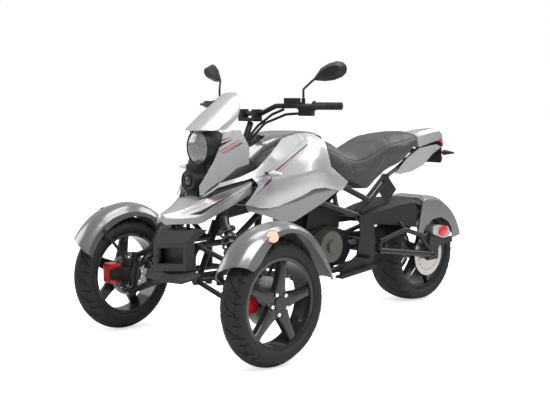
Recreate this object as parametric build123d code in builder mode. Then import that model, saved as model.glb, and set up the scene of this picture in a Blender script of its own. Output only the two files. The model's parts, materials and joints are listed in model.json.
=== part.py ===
"""Motor trike with two steered front wheels and one driven rear wheel.

The front of the trike faces -Y, its left side faces +X, and +Z is up. The origin is on the
ground at the middle of the overall length. Lengths are in millimetres. A "station" is a
distance behind the front axle, so a place on the trike reads (x, station, height).
"""

from build123d import *
import math
import os

os.makedirs("parts", exist_ok=True)

# Wheels on the ground
wheelbase = 1515.0
track = 1000.0
front_axle_y = -768.0
rear_axle_y = front_axle_y + wheelbase
front_tyre_radius = 262.0
front_tyre_width = 120.0
rear_tyre_radius = 252.0
rear_tyre_width = 190.0

# Walls, fits and gaps
panel_wall = 5.0
seat_gap = 0.4
panel_gap = 4.0
running_clearance = 0.05
moving_gap = 6.0
overrun = 40.0


def at(station):
    """Y of a station behind the front axle."""
    return front_axle_y + station


def spot(x, station, height):
    """A point from its side offset, station and height."""
    return Vector(x, at(station), height)


def mirrored(point):
    """The same point on the right side."""
    return Vector(-point.X, point.Y, point.Z)


def side_plane(point):
    """A sketch plane through a point, seen from the left: along the trike, then up."""
    return Plane(origin=point, x_dir=(0, 1, 0), z_dir=(1, 0, 0))


def front_plane(point):
    """A sketch plane through a point, seen from the front: to the left, then up."""
    return Plane(origin=point, x_dir=(1, 0, 0), z_dir=(0, -1, 0))


def tube(points, radius, bend=0.0, bore=0.0):
    """A round tube along a bent path, closed or with a bore."""
    with BuildPart() as pipe:
        with BuildLine() as path:
            if bend > 0.0 and len(points) > 2:
                FilletPolyline(*points, radius=bend)
            else:
                Polyline(*points)
        with BuildSketch(Plane(origin=path.line @ 0, z_dir=path.line % 0)):
            Circle(radius)
            if bore > 0.0:
                Circle(bore, mode=Mode.SUBTRACT)
        sweep(path=path.line, transition=Transition.ROUND)
    return pipe.part


def rod(start, end, radius, bore=0.0):
    """A straight round bar from start to end."""
    return tube([start, end], radius, bore=bore)


def loft_rings(rings):
    """A closed solid through rings of points, each ring (station, [(x, height), ...])."""
    with BuildPart() as body:
        for station, outline in rings:
            with BuildSketch(Plane.XZ.offset(-at(station))):
                with BuildLine():
                    Polyline(*outline, close=True)
                make_face()
        loft(ruled=True)
    return body.part


def side_plate(outline, x_low, x_high):
    """A flat plate drawn in side view, (station, height) points, between two side offsets."""
    with BuildPart() as plate:
        with BuildSketch(Plane.YZ.offset(x_low)):
            with BuildLine():
                Polyline(*[(at(s), z) for s, z in outline], close=True)
            make_face()
        extrude(amount=x_high - x_low)
    return plate.part


def joined(*pieces):
    """One solid from pieces that run into each other."""
    with BuildPart() as whole:
        for piece in pieces:
            add(piece)
    return whole.part


def both_sides(*pieces):
    """The pieces and their mirror images, as one node."""
    with BuildPart() as pair:
        for piece in pieces:
            add(piece)
        mirror(about=Plane.YZ)
    return pair.part


def right_copy(piece):
    """The mirror image of a left piece."""
    with BuildPart() as copy:
        mirror(piece, about=Plane.YZ)
    return copy.part


def cut_by(piece, *neighbours):
    """Returns the piece's main body with the neighbours cut out of it."""
    with BuildPart() as cut:
        add(piece)
        for neighbour in neighbours:
            add(neighbour, mode=Mode.SUBTRACT)
    return cut.part


def largest(piece, count):
    """The largest solids of a piece, without the offcuts."""
    with BuildPart() as kept:
        for solid in piece.solids().sort_by(SortBy.VOLUME)[-count:]:
            add(solid)
    return kept.part


def save(name, piece):
    """Labels a finished piece and writes its file."""
    piece.label = name
    export_step(piece, f"parts/{name}.step")


# Wheel sizes
front_rim_width = 98.0
rear_rim_width = 150.0
rim_bead_radius = 178.0
rim_lip_radius = 189.0
rim_lip_wall = 7.0
rim_barrel_wall = 6.0
tyre_sidewall_share = 0.52
front_tread_share = 0.62
rear_tread_share = 0.80
front_crown_drop = 22.0
rear_crown_drop = 12.0

spoke_count = 5
# Degrees that the first spoke leans towards the rear
spoke_phase = 9.0
spoke_root_width = 66.0
spoke_tip_width = 36.0
spoke_depth = 24.0
spoke_spread = 6.0
spoke_face_inset = 8.0
hub_face_radius = 54.0
hub_radius = 36.0
hub_cap_radius = 29.0
hub_cap_height = 6.0
axle_radius = 12.0

front_disc_radius = 100.0
rear_disc_radius = 113.0
disc_thickness = 4.0
disc_bell_radius = 52.0
disc_hole_radius = 4.0
disc_hole_count = 20
front_disc_inset = 46.0
rear_disc_inset = 112.0
front_hub_inset = 50.0

sprocket_radius = 92.0
sprocket_thickness = 6.0
sprocket_tooth_height = 6.0
sprocket_teeth = 38
sprocket_inset = 112.0


def tyre_solid(centre, radius, width, rim_width, tread_share, crown_drop):
    """A tyre ring seated on its rim between the lips."""
    bead = rim_width / 2 - rim_lip_wall
    wall_radius = rim_bead_radius + (radius - rim_bead_radius) * tyre_sidewall_share
    shoulder_radius = radius - crown_drop
    tread = width / 2 * tread_share
    half = width / 2
    lip = rim_lip_radius + seat_gap
    with BuildPart() as tyre:
        with BuildSketch(front_plane(centre)):
            with BuildLine():
                Line((-bead, rim_bead_radius), (bead, rim_bead_radius))
                Polyline((bead, rim_bead_radius), (bead, lip), (rim_width / 2, lip))
                ThreePointArc(
                    (rim_width / 2, lip), (half, wall_radius), (tread, shoulder_radius)
                )
                ThreePointArc(
                    (tread, shoulder_radius), (0, radius), (-tread, shoulder_radius)
                )
                ThreePointArc(
                    (-tread, shoulder_radius), (-half, wall_radius), (-rim_width / 2, lip)
                )
                Polyline((-rim_width / 2, lip), (-bead, lip), (-bead, rim_bead_radius))
            make_face()
        revolve(axis=Axis(centre, (1, 0, 0)))
    return tyre.part


def rim_solid(centre, rim_width, outward, hub_inner, hub_outer):
    """A cast rim: barrel with lips, tapered spokes near the outer face, hub with a bore."""
    half = rim_width / 2
    barrel = rim_bead_radius - rim_barrel_wall
    face = outward * (half - spoke_face_inset)
    spoke_end = barrel + rim_barrel_wall / 4
    axis = Axis(centre, (1, 0, 0))
    face_centre = centre + Vector(face, 0, 0)
    outer_plane = Plane(origin=face_centre, x_dir=(0, 0, 1), z_dir=(-outward, 0, 0))
    with BuildPart() as rim:
        with BuildSketch(front_plane(centre)):
            with BuildLine():
                Polyline(
                    (-half, barrel),
                    (-half, rim_lip_radius),
                    (-half + rim_lip_wall, rim_lip_radius),
                    (-half + rim_lip_wall, rim_bead_radius),
                    (half - rim_lip_wall, rim_bead_radius),
                    (half - rim_lip_wall, rim_lip_radius),
                    (half, rim_lip_radius),
                    (half, barrel),
                    close=True,
                )
            make_face()
        revolve(axis=axis)
        for spoke in range(spoke_count):
            angle = math.radians(360.0 * spoke / spoke_count + spoke_phase)
            spoke_line = (0, math.sin(angle), math.cos(angle))
            spoke_plane = Plane(origin=face_centre, x_dir=spoke_line, z_dir=(-outward, 0, 0))
            for depth, spread in ((0.0, 0.0), (spoke_depth, spoke_spread)):
                with BuildSketch(spoke_plane.offset(depth)):
                    with BuildLine():
                        Polyline(
                            (0, -spoke_root_width / 2 - spread),
                            (spoke_end, -spoke_tip_width / 2 - spread),
                            (spoke_end, spoke_tip_width / 2 + spread),
                            (0, spoke_root_width / 2 + spread),
                            close=True,
                        )
                    make_face()
            loft(ruled=True)
        with BuildSketch(outer_plane):
            Circle(hub_face_radius)
        extrude(amount=spoke_depth)
        with BuildSketch(side_plane(centre + Vector(hub_inner, 0, 0))):
            Circle(hub_radius)
        extrude(amount=hub_outer - hub_inner)
        with BuildSketch(outer_plane):
            Circle(hub_cap_radius)
        extrude(amount=-hub_cap_height)
        with BuildSketch(side_plane(centre + Vector(hub_inner, 0, 0))):
            Circle(axle_radius + running_clearance)
        extrude(amount=hub_outer - hub_inner, mode=Mode.SUBTRACT)
    return rim.part


def disc_solid(centre, radius, x):
    """A drilled brake disc in the plane x."""
    with BuildPart() as disc:
        with BuildSketch(side_plane(centre + Vector(x, 0, 0))):
            Circle(radius)
            Circle(hub_radius + seat_gap, mode=Mode.SUBTRACT)
            with PolarLocations((radius + disc_bell_radius) / 2, disc_hole_count):
                Circle(disc_hole_radius, mode=Mode.SUBTRACT)
        extrude(amount=disc_thickness / 2, both=True)
    return disc.part


front_left_centre = Vector(track / 2, front_axle_y, front_tyre_radius)
rear_centre = Vector(0, rear_axle_y, rear_tyre_radius)

front_tyre = tyre_solid(
    front_left_centre,
    front_tyre_radius,
    front_tyre_width,
    front_rim_width,
    front_tread_share,
    front_crown_drop,
)
rear_tyre = tyre_solid(
    rear_centre,
    rear_tyre_radius,
    rear_tyre_width,
    rear_rim_width,
    rear_tread_share,
    rear_crown_drop,
)
front_rim = rim_solid(
    front_left_centre,
    front_rim_width,
    1,
    -front_hub_inset,
    front_rim_width / 2 - spoke_face_inset - hub_cap_height,
)
rear_hub_half = rear_disc_inset + disc_thickness / 2 + panel_wall
rear_rim = rim_solid(rear_centre, rear_rim_width, 1, -rear_hub_half, rear_hub_half)
front_disc = disc_solid(front_left_centre, front_disc_radius, -front_disc_inset)
rear_disc = disc_solid(rear_centre, rear_disc_radius, rear_disc_inset)

with BuildPart() as sprocket:
    with BuildSketch(side_plane(rear_centre + Vector(-sprocket_inset, 0, 0))):
        Circle(sprocket_radius)
        with PolarLocations(sprocket_radius, sprocket_teeth):
            RegularPolygon(sprocket_tooth_height, 3)
        Circle(hub_radius + seat_gap, mode=Mode.SUBTRACT)
    extrude(amount=sprocket_thickness / 2, both=True)

save("tyre_front_left", front_tyre)
save("tyre_front_right", right_copy(front_tyre))
save("tyre_rear", rear_tyre)
save("rim_front_left", front_rim)
save("rim_front_right", right_copy(front_rim))
save("rim_rear", rear_rim)
save("disc_front_left", front_disc)
save("disc_front_right", right_copy(front_disc))
save("disc_rear", rear_disc)
save("sprocket_rear", sprocket.part)

# Steering column, handlebar and the linkage to the knuckles
column_low = spot(0.0, 46.0, 306.0)
column_top = spot(0.0, 350.0, 962.0)
column_axis = (column_top - column_low).normalized()
column_radius = 14.0
pitman_length = 82.0
pitman_spread = 36.0
pitman_radius = 11.0
pitman_thickness = 7.0
pitman_drop = 26.0
rod_eye_drop = 43.0
bar_radius = 11.0
bar_bend = 36.0
grip_radius = 16.5
grip_length = 128.0
grip_flange = 3.0
mirror_stem_radius = 5.0

kingpin_low_inset = 76.0
kingpin_high_inset = 92.0
kingpin_low_station = -3.0
kingpin_high_station = 7.0
kingpin_low_drop = 80.0
kingpin_high_rise = 88.0
kingpin_low = spot(
    track / 2 - kingpin_low_inset, kingpin_low_station, front_tyre_radius - kingpin_low_drop
)
kingpin_high = spot(
    track / 2 - kingpin_high_inset, kingpin_high_station, front_tyre_radius + kingpin_high_rise
)
kingpin_axis = (kingpin_high - kingpin_low).normalized()
kingpin_length = (kingpin_high - kingpin_low).length
knuckle_radius = 20.0
knuckle_hub_radius = 34.0
knuckle_hub_inset = 59.0
knuckle_hub_depth = 36.0
knuckle_hub_face = track / 2 - knuckle_hub_inset
knuckle_hub_back = knuckle_hub_face - knuckle_hub_depth
ball_pin_radius = 8.0
ball_boss_radius = 19.0
ball_boss_height = 26.0
lug_gap = 12.0
steering_arm_length = 74.0
steering_arm_lift = 110.0
steering_arm_radius = 10.0
track_rod_radius = 8.0
track_rod_boss_radius = 15.0
track_rod_boss_height = 20.0

# Left half of the handlebar: side offset, station, height
bar_places = [(0.0, 346.0, 1002.0), (70.0, 348.0, 1002.0), (150.0, 362.0, 1037.0), (446.0, 468.0, 1038.0)]
bar_middle, bar_inner, bar_rise, bar_end = [spot(*place) for place in bar_places]
bar_axis = (bar_end - bar_rise).normalized()


def on_bar(distance, drop=0.0, ahead=0.0):
    """A point measured inboard from the left bar end, below and ahead of the bar."""
    return bar_end - bar_axis * distance + Vector(0, -ahead, -drop)


def on_kingpin(distance):
    """A point on the kingpin axis, measured up from its lower ball joint."""
    return kingpin_low + kingpin_axis * distance


def wheel_point(x, radius, degrees):
    """A point round the front left wheel. 0 degrees is rearwards and 90 is up."""
    angle = math.radians(degrees)
    return Vector(
        x,
        front_left_centre.Y + radius * math.cos(angle),
        front_left_centre.Z + radius * math.sin(angle),
    )


# Front corners: knuckle with its stub axle, steering arm and fender struts
strut_radius = 7.0
strut_bend = 24.0
strut_degrees = [54.0, 126.0]
strut_knee_share = 0.6
strut_root_share = 0.45
strut_end_radius = 274.0
fender_wall = 4.0
# Distances of the fender's seven outline points from the middle of the wheel, inner lip first
fender_offsets = [-74.0, -70.0, -44.0, 0.0, 45.0, 72.0, 76.0]
# Degrees round the wheel from the rear, then the radius of each outline point
fender_rows = [
    (14.0, [278.0, 288.0, 300.0, 304.0, 300.0, 290.0, 278.0]),
    (30.0, [270.0, 286.0, 306.0, 312.0, 306.0, 288.0, 265.0]),
    (48.0, [268.0, 287.0, 313.0, 320.0, 314.0, 292.0, 265.0]),
    (65.0, [270.0, 288.0, 319.0, 327.0, 321.0, 300.0, 281.0]),
    (80.0, [268.0, 288.0, 319.0, 328.0, 322.0, 303.0, 287.0]),
    (97.0, [262.0, 286.0, 315.0, 323.0, 316.0, 298.0, 276.0]),
    (112.0, [256.0, 284.0, 311.0, 318.0, 309.0, 287.0, 249.0]),
    (128.0, [250.0, 280.0, 305.0, 312.0, 301.0, 272.0, 226.0]),
    (142.0, [246.0, 272.0, 299.0, 306.0, 295.0, 264.0, 232.0]),
    (157.0, [241.0, 264.0, 293.0, 299.0, 289.0, 262.0, 238.0]),
]
fender_tip = (-68.0, -218.0, 103.0)
fender_tip_normal = (0.424, -0.479, -0.766)

caliper_degrees = 172.0
caliper_reach = 96.0
caliper_length = 92.0
caliper_depth = 58.0
caliper_width = 56.0
caliper_slot = 16.0
caliper_corner = 12.0

stub_end = track / 2 + front_rim_width / 2 - spoke_face_inset - hub_cap_height - moving_gap
low_lug = on_kingpin(ball_boss_height / 2 + lug_gap)
high_lug = on_kingpin(kingpin_length - ball_boss_height / 2 - lug_gap)
arm_root = on_kingpin(steering_arm_lift)
arm_tip = arm_root + Vector(0, steering_arm_length, 0)
arm_eye_drop = track_rod_boss_height / 2 + moving_gap * 1.5 + steering_arm_radius
arm_end = arm_tip + kingpin_axis * arm_eye_drop
strut_x = track / 2 + fender_offsets[1] - strut_radius + fender_wall / 2

struts = [
    tube(
        [
            on_kingpin(kingpin_length * strut_root_share),
            wheel_point(
                strut_x - knuckle_radius, front_tyre_radius * strut_knee_share, degrees
            ),
            wheel_point(strut_x, strut_end_radius, degrees),
        ],
        strut_radius,
        bend=strut_bend,
    )
    for degrees in strut_degrees
]
# Station behind the axle and rise over it
caliper_plate_places = [(16, -26), (16, 26), (-70, 42), (-128, 34), (-128, -10), (-70, -22)]
caliper_plate_outline = [(s, front_tyre_radius + rise) for s, rise in caliper_plate_places]
caliper_inner_x = track / 2 - front_disc_inset - caliper_width / 2
knuckle = joined(
    rod(low_lug, high_lug, knuckle_radius),
    side_plate(
        caliper_plate_outline, knuckle_hub_back + panel_wall, caliper_inner_x - seat_gap / 2
    ),
    rod(
        spot(knuckle_hub_back, 0, front_tyre_radius),
        spot(knuckle_hub_face, 0, front_tyre_radius),
        knuckle_hub_radius,
    ),
    rod(
        spot(knuckle_hub_back, 0, front_tyre_radius),
        spot(stub_end, 0, front_tyre_radius),
        axle_radius,
    ),
    rod(on_kingpin(-ball_boss_height / 2), low_lug, ball_pin_radius),
    rod(high_lug, on_kingpin(kingpin_length + ball_boss_height / 2), ball_pin_radius),
    tube([arm_root, arm_end], steering_arm_radius),
    rod(arm_end, arm_tip - kingpin_axis * track_rod_boss_height / 2, ball_pin_radius),
    *struts,
)

with BuildPart() as fender:
    for degrees, radii in fender_rows:
        angle = math.radians(degrees)
        row_plane = Plane(
            origin=front_left_centre,
            x_dir=(1, 0, 0),
            z_dir=(0, -math.sin(angle), math.cos(angle)),
        )
        outer = list(zip(fender_offsets, radii))
        inner = [
            (x * (1 - fender_wall / abs(fender_offsets[0])), r - fender_wall * (0 < i < 6))
            for i, (x, r) in enumerate(outer)
        ]
        with BuildSketch(row_plane):
            with BuildLine():
                Polyline(*outer, *inner[::-1], close=True)
            make_face()
    loft(ruled=True)
    split(
        bisect_by=Plane(origin=front_left_centre + Vector(*fender_tip), z_dir=fender_tip_normal),
        keep=Keep.BOTTOM,
    )

caliper_centre = wheel_point(track / 2 - front_disc_inset, caliper_reach, caliper_degrees)
disc_middle = front_left_centre - Vector(front_disc_inset, 0, 0)
with BuildPart() as caliper:
    with BuildSketch(side_plane(caliper_centre)):
        RectangleRounded(caliper_depth, caliper_length, caliper_corner)
    extrude(amount=caliper_width / 2, both=True)
    with BuildSketch(side_plane(disc_middle)):
        Circle(front_disc_radius + moving_gap)
    extrude(amount=caliper_slot / 2, both=True, mode=Mode.SUBTRACT)

# Track rods with an eye at each end
rod_outer = arm_tip
rod_inner = column_low + Vector(pitman_spread, pitman_length, -rod_eye_drop)
with BuildPart() as track_rod:
    add(rod(rod_outer, rod_inner, track_rod_radius))
    for eye in (rod_outer, rod_inner):
        with BuildSketch(Plane(origin=eye, z_dir=kingpin_axis)):
            Circle(track_rod_boss_radius)
        extrude(amount=track_rod_boss_height / 2, both=True)
    with BuildSketch(Plane(origin=rod_outer, z_dir=kingpin_axis)):
        Circle(ball_pin_radius + running_clearance)
    extrude(amount=track_rod_boss_height, both=True, mode=Mode.SUBTRACT)

knuckle_cut = cut_by(knuckle, fender.part)
save("knuckle_left", knuckle_cut)
save("knuckle_right", right_copy(knuckle_cut))
save("fender_front_left", fender.part)
save("fender_front_right", right_copy(fender.part))
save("caliper_left", caliper.part)
save("caliper_right", right_copy(caliper.part))
save("track_rod_left", track_rod.part)
save("track_rod_right", right_copy(track_rod.part))

# Control arms and coil-over dampers
arm_radius = 11.0
arm_pivot_radius = 17.0
arm_pivot_length = 30.0
lower_arm_front = spot(108.0, -62.0, 306.0)
lower_arm_rear = spot(108.0, 60.0, 306.0)
upper_arm_front = spot(110.5, -52.0, 452.0)
upper_arm_rear = spot(110.5, 150.0, 452.0)
damper_low_share = 0.62
damper_foot_shift = 12.0
damper_top = spot(146.0, 62.0, 566.0)
damper_body_radius = 17.0
damper_rod_radius = 7.0
damper_eye_radius = 13.0
damper_eye_width = 30.0
damper_body_share = 0.55
spring_radius = 31.0
spring_wire_radius = 5.5
spring_turns = 8
spring_start_share = 0.2
spring_end_share = 0.84
cross_arm_share = 0.62


def ball_housing(centre):
    """A ball joint housing on the kingpin axis, bored for its pin."""
    with BuildPart() as housing:
        with BuildSketch(Plane(origin=centre, z_dir=kingpin_axis)):
            Circle(ball_boss_radius)
            Circle(ball_pin_radius + running_clearance, mode=Mode.SUBTRACT)
        extrude(amount=ball_boss_height / 2, both=True)
    return housing.part


def pivot_tube(centre):
    """A short cross tube along the trike's length at the inner end of an arm."""
    half = Vector(0, arm_pivot_length / 2, 0)
    return rod(centre - half, centre + half, arm_pivot_radius)


def control_arm(front, rear, centre):
    """A two-legged arm from its inner pivots to its ball joint."""
    legs = []
    for pivot in (front, rear):
        reach = (centre - pivot).normalized()
        legs.append(rod(pivot, centre - reach * ball_boss_radius * 0.8, arm_radius))
    brace = rod(
        front + (centre - front) * cross_arm_share,
        rear + (centre - rear) * cross_arm_share,
        arm_radius * 0.8,
    )
    return joined(*legs, brace, pivot_tube(front), pivot_tube(rear), ball_housing(centre))


lower_arms = both_sides(control_arm(lower_arm_front, lower_arm_rear, kingpin_low))
upper_arms = both_sides(control_arm(upper_arm_front, upper_arm_rear, kingpin_high))

lower_middle = (lower_arm_front + lower_arm_rear) * 0.5
damper_foot = lower_middle + (kingpin_low - lower_middle) * damper_low_share
damper_lift = damper_eye_radius + arm_radius * 0.8 + seat_gap / 2
damper_low = damper_foot + Vector(0, damper_foot_shift, damper_lift)
damper_axis = (damper_top - damper_low).normalized()
damper_length = (damper_top - damper_low).length


def on_damper(share):
    """A point along the damper, from its lower eye to its upper eye."""
    return damper_low + damper_axis * damper_length * share


def damper_eye(centre):
    """A damper eye with its bolt along the trike's length."""
    half = Vector(0, damper_eye_width / 2, 0)
    return rod(centre - half, centre + half, damper_eye_radius)


front_dampers = both_sides(
    joined(
        rod(on_damper(0), on_damper(damper_body_share), damper_rod_radius),
        rod(on_damper(damper_body_share), on_damper(1), damper_body_radius),
        rod(
            on_damper(spring_start_share) - damper_axis * spring_wire_radius * 2,
            on_damper(spring_start_share) - damper_axis * seat_gap / 2,
            spring_radius + spring_wire_radius,
        ),
        rod(
            on_damper(spring_end_share) + damper_axis * seat_gap / 2,
            on_damper(spring_end_share) + damper_axis * spring_wire_radius * 2,
            spring_radius + spring_wire_radius,
        ),
        damper_eye(on_damper(0)),
        damper_eye(on_damper(1)),
    )
)
spring_length = damper_length * (spring_end_share - spring_start_share)
spring_pitch = (spring_length - spring_wire_radius * 2) / spring_turns
spring_base = on_damper(spring_start_share) + damper_axis * spring_wire_radius
with BuildPart() as coil:
    with BuildLine() as wire:
        Helix(spring_pitch, spring_pitch * spring_turns, spring_radius)
    with BuildSketch(Plane(origin=wire.line @ 0, z_dir=wire.line % 0)):
        Circle(spring_wire_radius)
    sweep(path=wire.line, is_frenet=True)
with BuildPart() as front_springs:
    add(coil.part.moved(Plane(origin=spring_base, z_dir=damper_axis).location))
    mirror(about=Plane.YZ)

save("lower_arms", lower_arms)
save("upper_arms", upper_arms)
save("front_dampers", cut_by(front_dampers, lower_arms))
save("front_springs", front_springs.part)

# Steering column, handlebar and hand controls
clamp_width = 34.0
clamp_spread = 44.0
clamp_height = 38.0
clamp_depth = 40.0
yoke_height = 16.0
perch_radius = 17.0
perch_length = 24.0
switch_length = 62.0
switch_from = 136.0
switch_width = 38.0
switch_height = 50.0
switch_drop = 18.0
reservoir_from = 214.0
reservoir_length = 66.0
reservoir_width = 40.0
reservoir_height = 34.0
reservoir_ahead = 28.0
stem_from = 206.0
lever_reach = 168.0
lever_ahead = 58.0
lever_radius = 6.5
lever_bend = 30.0
lever_pivot_from = 206.0

yoke_middle = bar_middle - Vector(0, 0, clamp_height / 2 + yoke_height)
with BuildPart() as steering_column:
    add(rod(column_low - column_axis * pitman_drop, column_top, column_radius))
    with BuildSketch(Plane.XY.offset(yoke_middle.Z)):
        with Locations((0, yoke_middle.Y)):
            RectangleRounded(clamp_spread * 2 + clamp_width, clamp_depth, panel_wall)
    extrude(amount=yoke_height - seat_gap)
    with BuildSketch(Plane.XY.offset(column_low.Z - pitman_drop)):
        with BuildLine():
            Polyline(
                (-pitman_radius * 2, column_low.Y),
                (-pitman_spread - pitman_radius, column_low.Y + pitman_length),
                (-pitman_spread, column_low.Y + pitman_length + pitman_radius),
                (pitman_spread, column_low.Y + pitman_length + pitman_radius),
                (pitman_spread + pitman_radius, column_low.Y + pitman_length),
                (pitman_radius * 2, column_low.Y),
                (pitman_radius * 2, column_low.Y - pitman_radius * 2),
                (-pitman_radius * 2, column_low.Y - pitman_radius * 2),
                close=True,
            )
        make_face()
    extrude(amount=pitman_thickness)
save("steering_column", steering_column.part)

left_half = [bar_middle, bar_inner, bar_rise, bar_end]
bar_route = [mirrored(point) for point in reversed(left_half[1:])] + left_half[1:]
with BuildPart() as handlebar:
    add(tube(bar_route, bar_radius, bend=bar_bend))
    for side in (-1, 1):
        with BuildSketch(Plane.XY.offset(yoke_middle.Z + yoke_height)):
            with Locations((side * clamp_spread, bar_middle.Y)):
                RectangleRounded(clamp_width, clamp_depth, panel_wall)
        extrude(amount=clamp_height)
save("handlebar", handlebar.part)


def around_bar(start, length, radius):
    """A sleeve on the left bar end, from a distance inboard of its tip."""
    return rod(on_bar(start + length), on_bar(start), radius, bore=bar_radius + running_clearance)


grips = both_sides(
    around_bar(grip_flange, grip_length, grip_radius),
    around_bar(grip_length, grip_flange * 2, grip_radius + grip_flange * 2),
)
save("grips", grips)

perch = rod(on_bar(lever_pivot_from), on_bar(lever_pivot_from - perch_length), perch_radius)
perch_arm = rod(
    on_bar(lever_pivot_from - perch_length / 2),
    on_bar(lever_pivot_from - perch_length / 2, ahead=lever_ahead * 0.7),
    lever_radius * 1.4,
)
with BuildPart() as switch_box:
    with BuildSketch(
        Plane(origin=on_bar(switch_from, drop=switch_drop), x_dir=(0, 0, 1), z_dir=-bar_axis)
    ):
        RectangleRounded(switch_height, switch_width, panel_wall)
    extrude(amount=switch_length)
with BuildPart() as reservoir:
    with BuildSketch(Plane.XY.offset(bar_end.Z + perch_radius)):
        with Locations(
            Location(
                (on_bar(reservoir_from).X, on_bar(reservoir_from).Y - reservoir_ahead, 0),
                (0, 0, math.degrees(math.atan2(bar_axis.Y, bar_axis.X))),
            )
        ):
            RectangleRounded(reservoir_length, reservoir_width, panel_wall)
    extrude(amount=reservoir_height / 2, both=True)
stem_foot = rod(
    on_bar(stem_from - perch_length),
    on_bar(stem_from - perch_length, drop=-perch_radius * 2),
    perch_radius / 2,
)
control_parts = joined(perch, perch_arm, stem_foot)
with BuildPart() as hand_controls:
    for piece in (control_parts, switch_box.part):
        add(piece)
    mirror(about=Plane.YZ)
    add(reservoir.part)
    add(
        tube(
            bar_route,
            bar_radius + running_clearance,
            bend=bar_bend,
        ),
        mode=Mode.SUBTRACT,
    )
lever_route = [
    on_bar(lever_pivot_from - perch_length / 2, ahead=lever_ahead * 0.7 + lever_radius),
    on_bar(lever_pivot_from * 0.7, ahead=lever_ahead),
    on_bar(lever_pivot_from - lever_reach, ahead=lever_ahead * 0.8),
]
levers = both_sides(tube(lever_route, lever_radius, bend=lever_bend))
save("hand_controls", joined(hand_controls.part, levers))

# Mirrors on bent stems
mirror_inner = spot(306.0, 440.0, 1152.0)
mirror_tip = spot(446.0, 492.0, 1206.0)
mirror_shares = [0.0, 0.12, 0.3, 0.55, 0.8, 0.94, 1.0]
mirror_low_shares = [0.1, 0.32, 0.62, 0.86, 0.84, 0.6, 0.2]
mirror_high_shares = [0.1, 0.42, 0.86, 1.0, 0.9, 0.6, 0.2]
mirror_half_height = 41.0
mirror_depth = 34.0
mirror_glass_thickness = 3.0
mirror_glass_share = 0.84
mirror_taper = 28
mirror_stem_rise = 38.0
mirror_stem_bend = 12.0

mirror_run = (mirror_tip - mirror_inner).normalized()
mirror_flat = Vector(mirror_run.X, mirror_run.Y, 0).normalized()
mirror_back = Vector(-mirror_flat.Y, mirror_flat.X, 0)
mirror_length = (mirror_tip - mirror_inner).length


def mirror_outline(scale):
    """The outline of the mirror in its own plane, along its length and across."""
    high = [
        (mirror_length * u, mirror_half_height * v * scale)
        for u, v in zip(mirror_shares, mirror_high_shares)
    ]
    low = [
        (mirror_length * u, -mirror_half_height * v * scale)
        for u, v in zip(mirror_shares, mirror_low_shares)
    ]
    return high + low[::-1]


mirror_plane = Plane(origin=mirror_inner, x_dir=mirror_run, z_dir=-mirror_back)
with BuildPart() as mirror_shells:
    with BuildSketch(mirror_plane):
        with BuildLine():
            Polyline(*mirror_outline(1.0), close=True)
        make_face()
    extrude(amount=mirror_depth, taper=mirror_taper)
    with BuildSketch(mirror_plane):
        with BuildLine():
            Polyline(*mirror_outline(1.0), close=True)
        make_face()
    extrude(amount=-mirror_glass_thickness)
    mirror(about=Plane.YZ)
with BuildPart() as mirror_glasses:
    glass_plane = mirror_plane.offset(-mirror_glass_thickness)
    with BuildSketch(glass_plane):
        with BuildLine():
            Polyline(
                *[
                    (mirror_length / 2 + (u - mirror_length / 2) * mirror_glass_share, v)
                    for u, v in mirror_outline(mirror_glass_share)
                ],
                close=True,
            )
        make_face()
    extrude(amount=-mirror_glass_thickness)
    mirror(about=Plane.YZ)
save("mirror_glasses", mirror_glasses.part)
stem_top = mirror_inner - mirror_run * seat_gap
stem_base = on_bar(stem_from - perch_length, drop=-perch_radius * 2 - seat_gap)
mirror_stems = both_sides(
    tube(
        [stem_base, stem_base + Vector(0, 0, mirror_stem_rise), stem_top],
        mirror_stem_radius,
        bend=mirror_stem_bend,
    )
)
save("mirrors", joined(mirror_shells.part, mirror_stems))


# Body panels, drawn as cross sections along the trike and cut to their side outlines
def ribbon(points, wall):
    """A thin closed strip along (x, height) points, thickened towards the middle."""
    inner = []
    for index, (x, z) in enumerate(points):
        before = points[max(index - 1, 0)]
        after = points[min(index + 1, len(points) - 1)]
        run = math.hypot(after[0] - before[0], after[1] - before[1])
        across = (after[1] - before[1]) / run
        down = (after[0] - before[0]) / run
        inner.append((x + wall * across, z - wall * down))
    return list(points) + inner[::-1]


def panel(rings, wall, outline=None):
    """A thin shell through ribbons, cut by a side outline where one is given."""
    shell = loft_rings([(station, ribbon(points, wall)) for station, points in rings])
    if outline is None:
        return shell
    with BuildPart() as cut:
        add(shell)
        with BuildSketch(Plane.YZ):
            with BuildLine():
                Polyline(*[(at(s), z) for s, z in outline], close=True)
            make_face()
        extrude(amount=track, mode=Mode.INTERSECT)
    return cut.part


bearing_radius = 26.0
# Station, then (side offset, height) from the right lower edge over the top to the left one
nose_rings = [
    (-165.0, [(-28, 547), (-27, 574), (-15, 586), (0, 589), (15, 586), (27, 574), (28, 547)]),
    (-94.0, [(-80, 548), (-78, 572), (-46, 602), (0, 611), (46, 602), (78, 572), (80, 548)]),
    (-42.0, [(-110, 548), (-108, 580), (-68, 622), (0, 632), (68, 622), (108, 580), (110, 548)]),
    (2.0, [(-122, 566), (-124, 606), (-84, 646), (0, 656), (84, 646), (124, 606), (122, 566)]),
    (40.0, [(-134, 585), (-140, 632), (-96, 650), (0, 655), (96, 650), (140, 632), (134, 585)]),
    (180.0, [(-184, 662), (-190, 716), (-130, 712), (0, 690), (130, 712), (190, 716), (184, 662)]),
]
nose_front_station, nose_front_outline = nose_rings[0]
with BuildPart() as nose_cowl:
    add(loft_rings([(station, ribbon(points, panel_wall)) for station, points in nose_rings]))
    with BuildSketch(Plane.XZ.offset(-at(nose_front_station))):
        with BuildLine():
            Polyline(*nose_front_outline, close=True)
        make_face()
    extrude(amount=-panel_wall)
    add(rod(column_low, column_top, bearing_radius + panel_gap), mode=Mode.SUBTRACT)
save("nose_cowl", nose_cowl.part)

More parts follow.
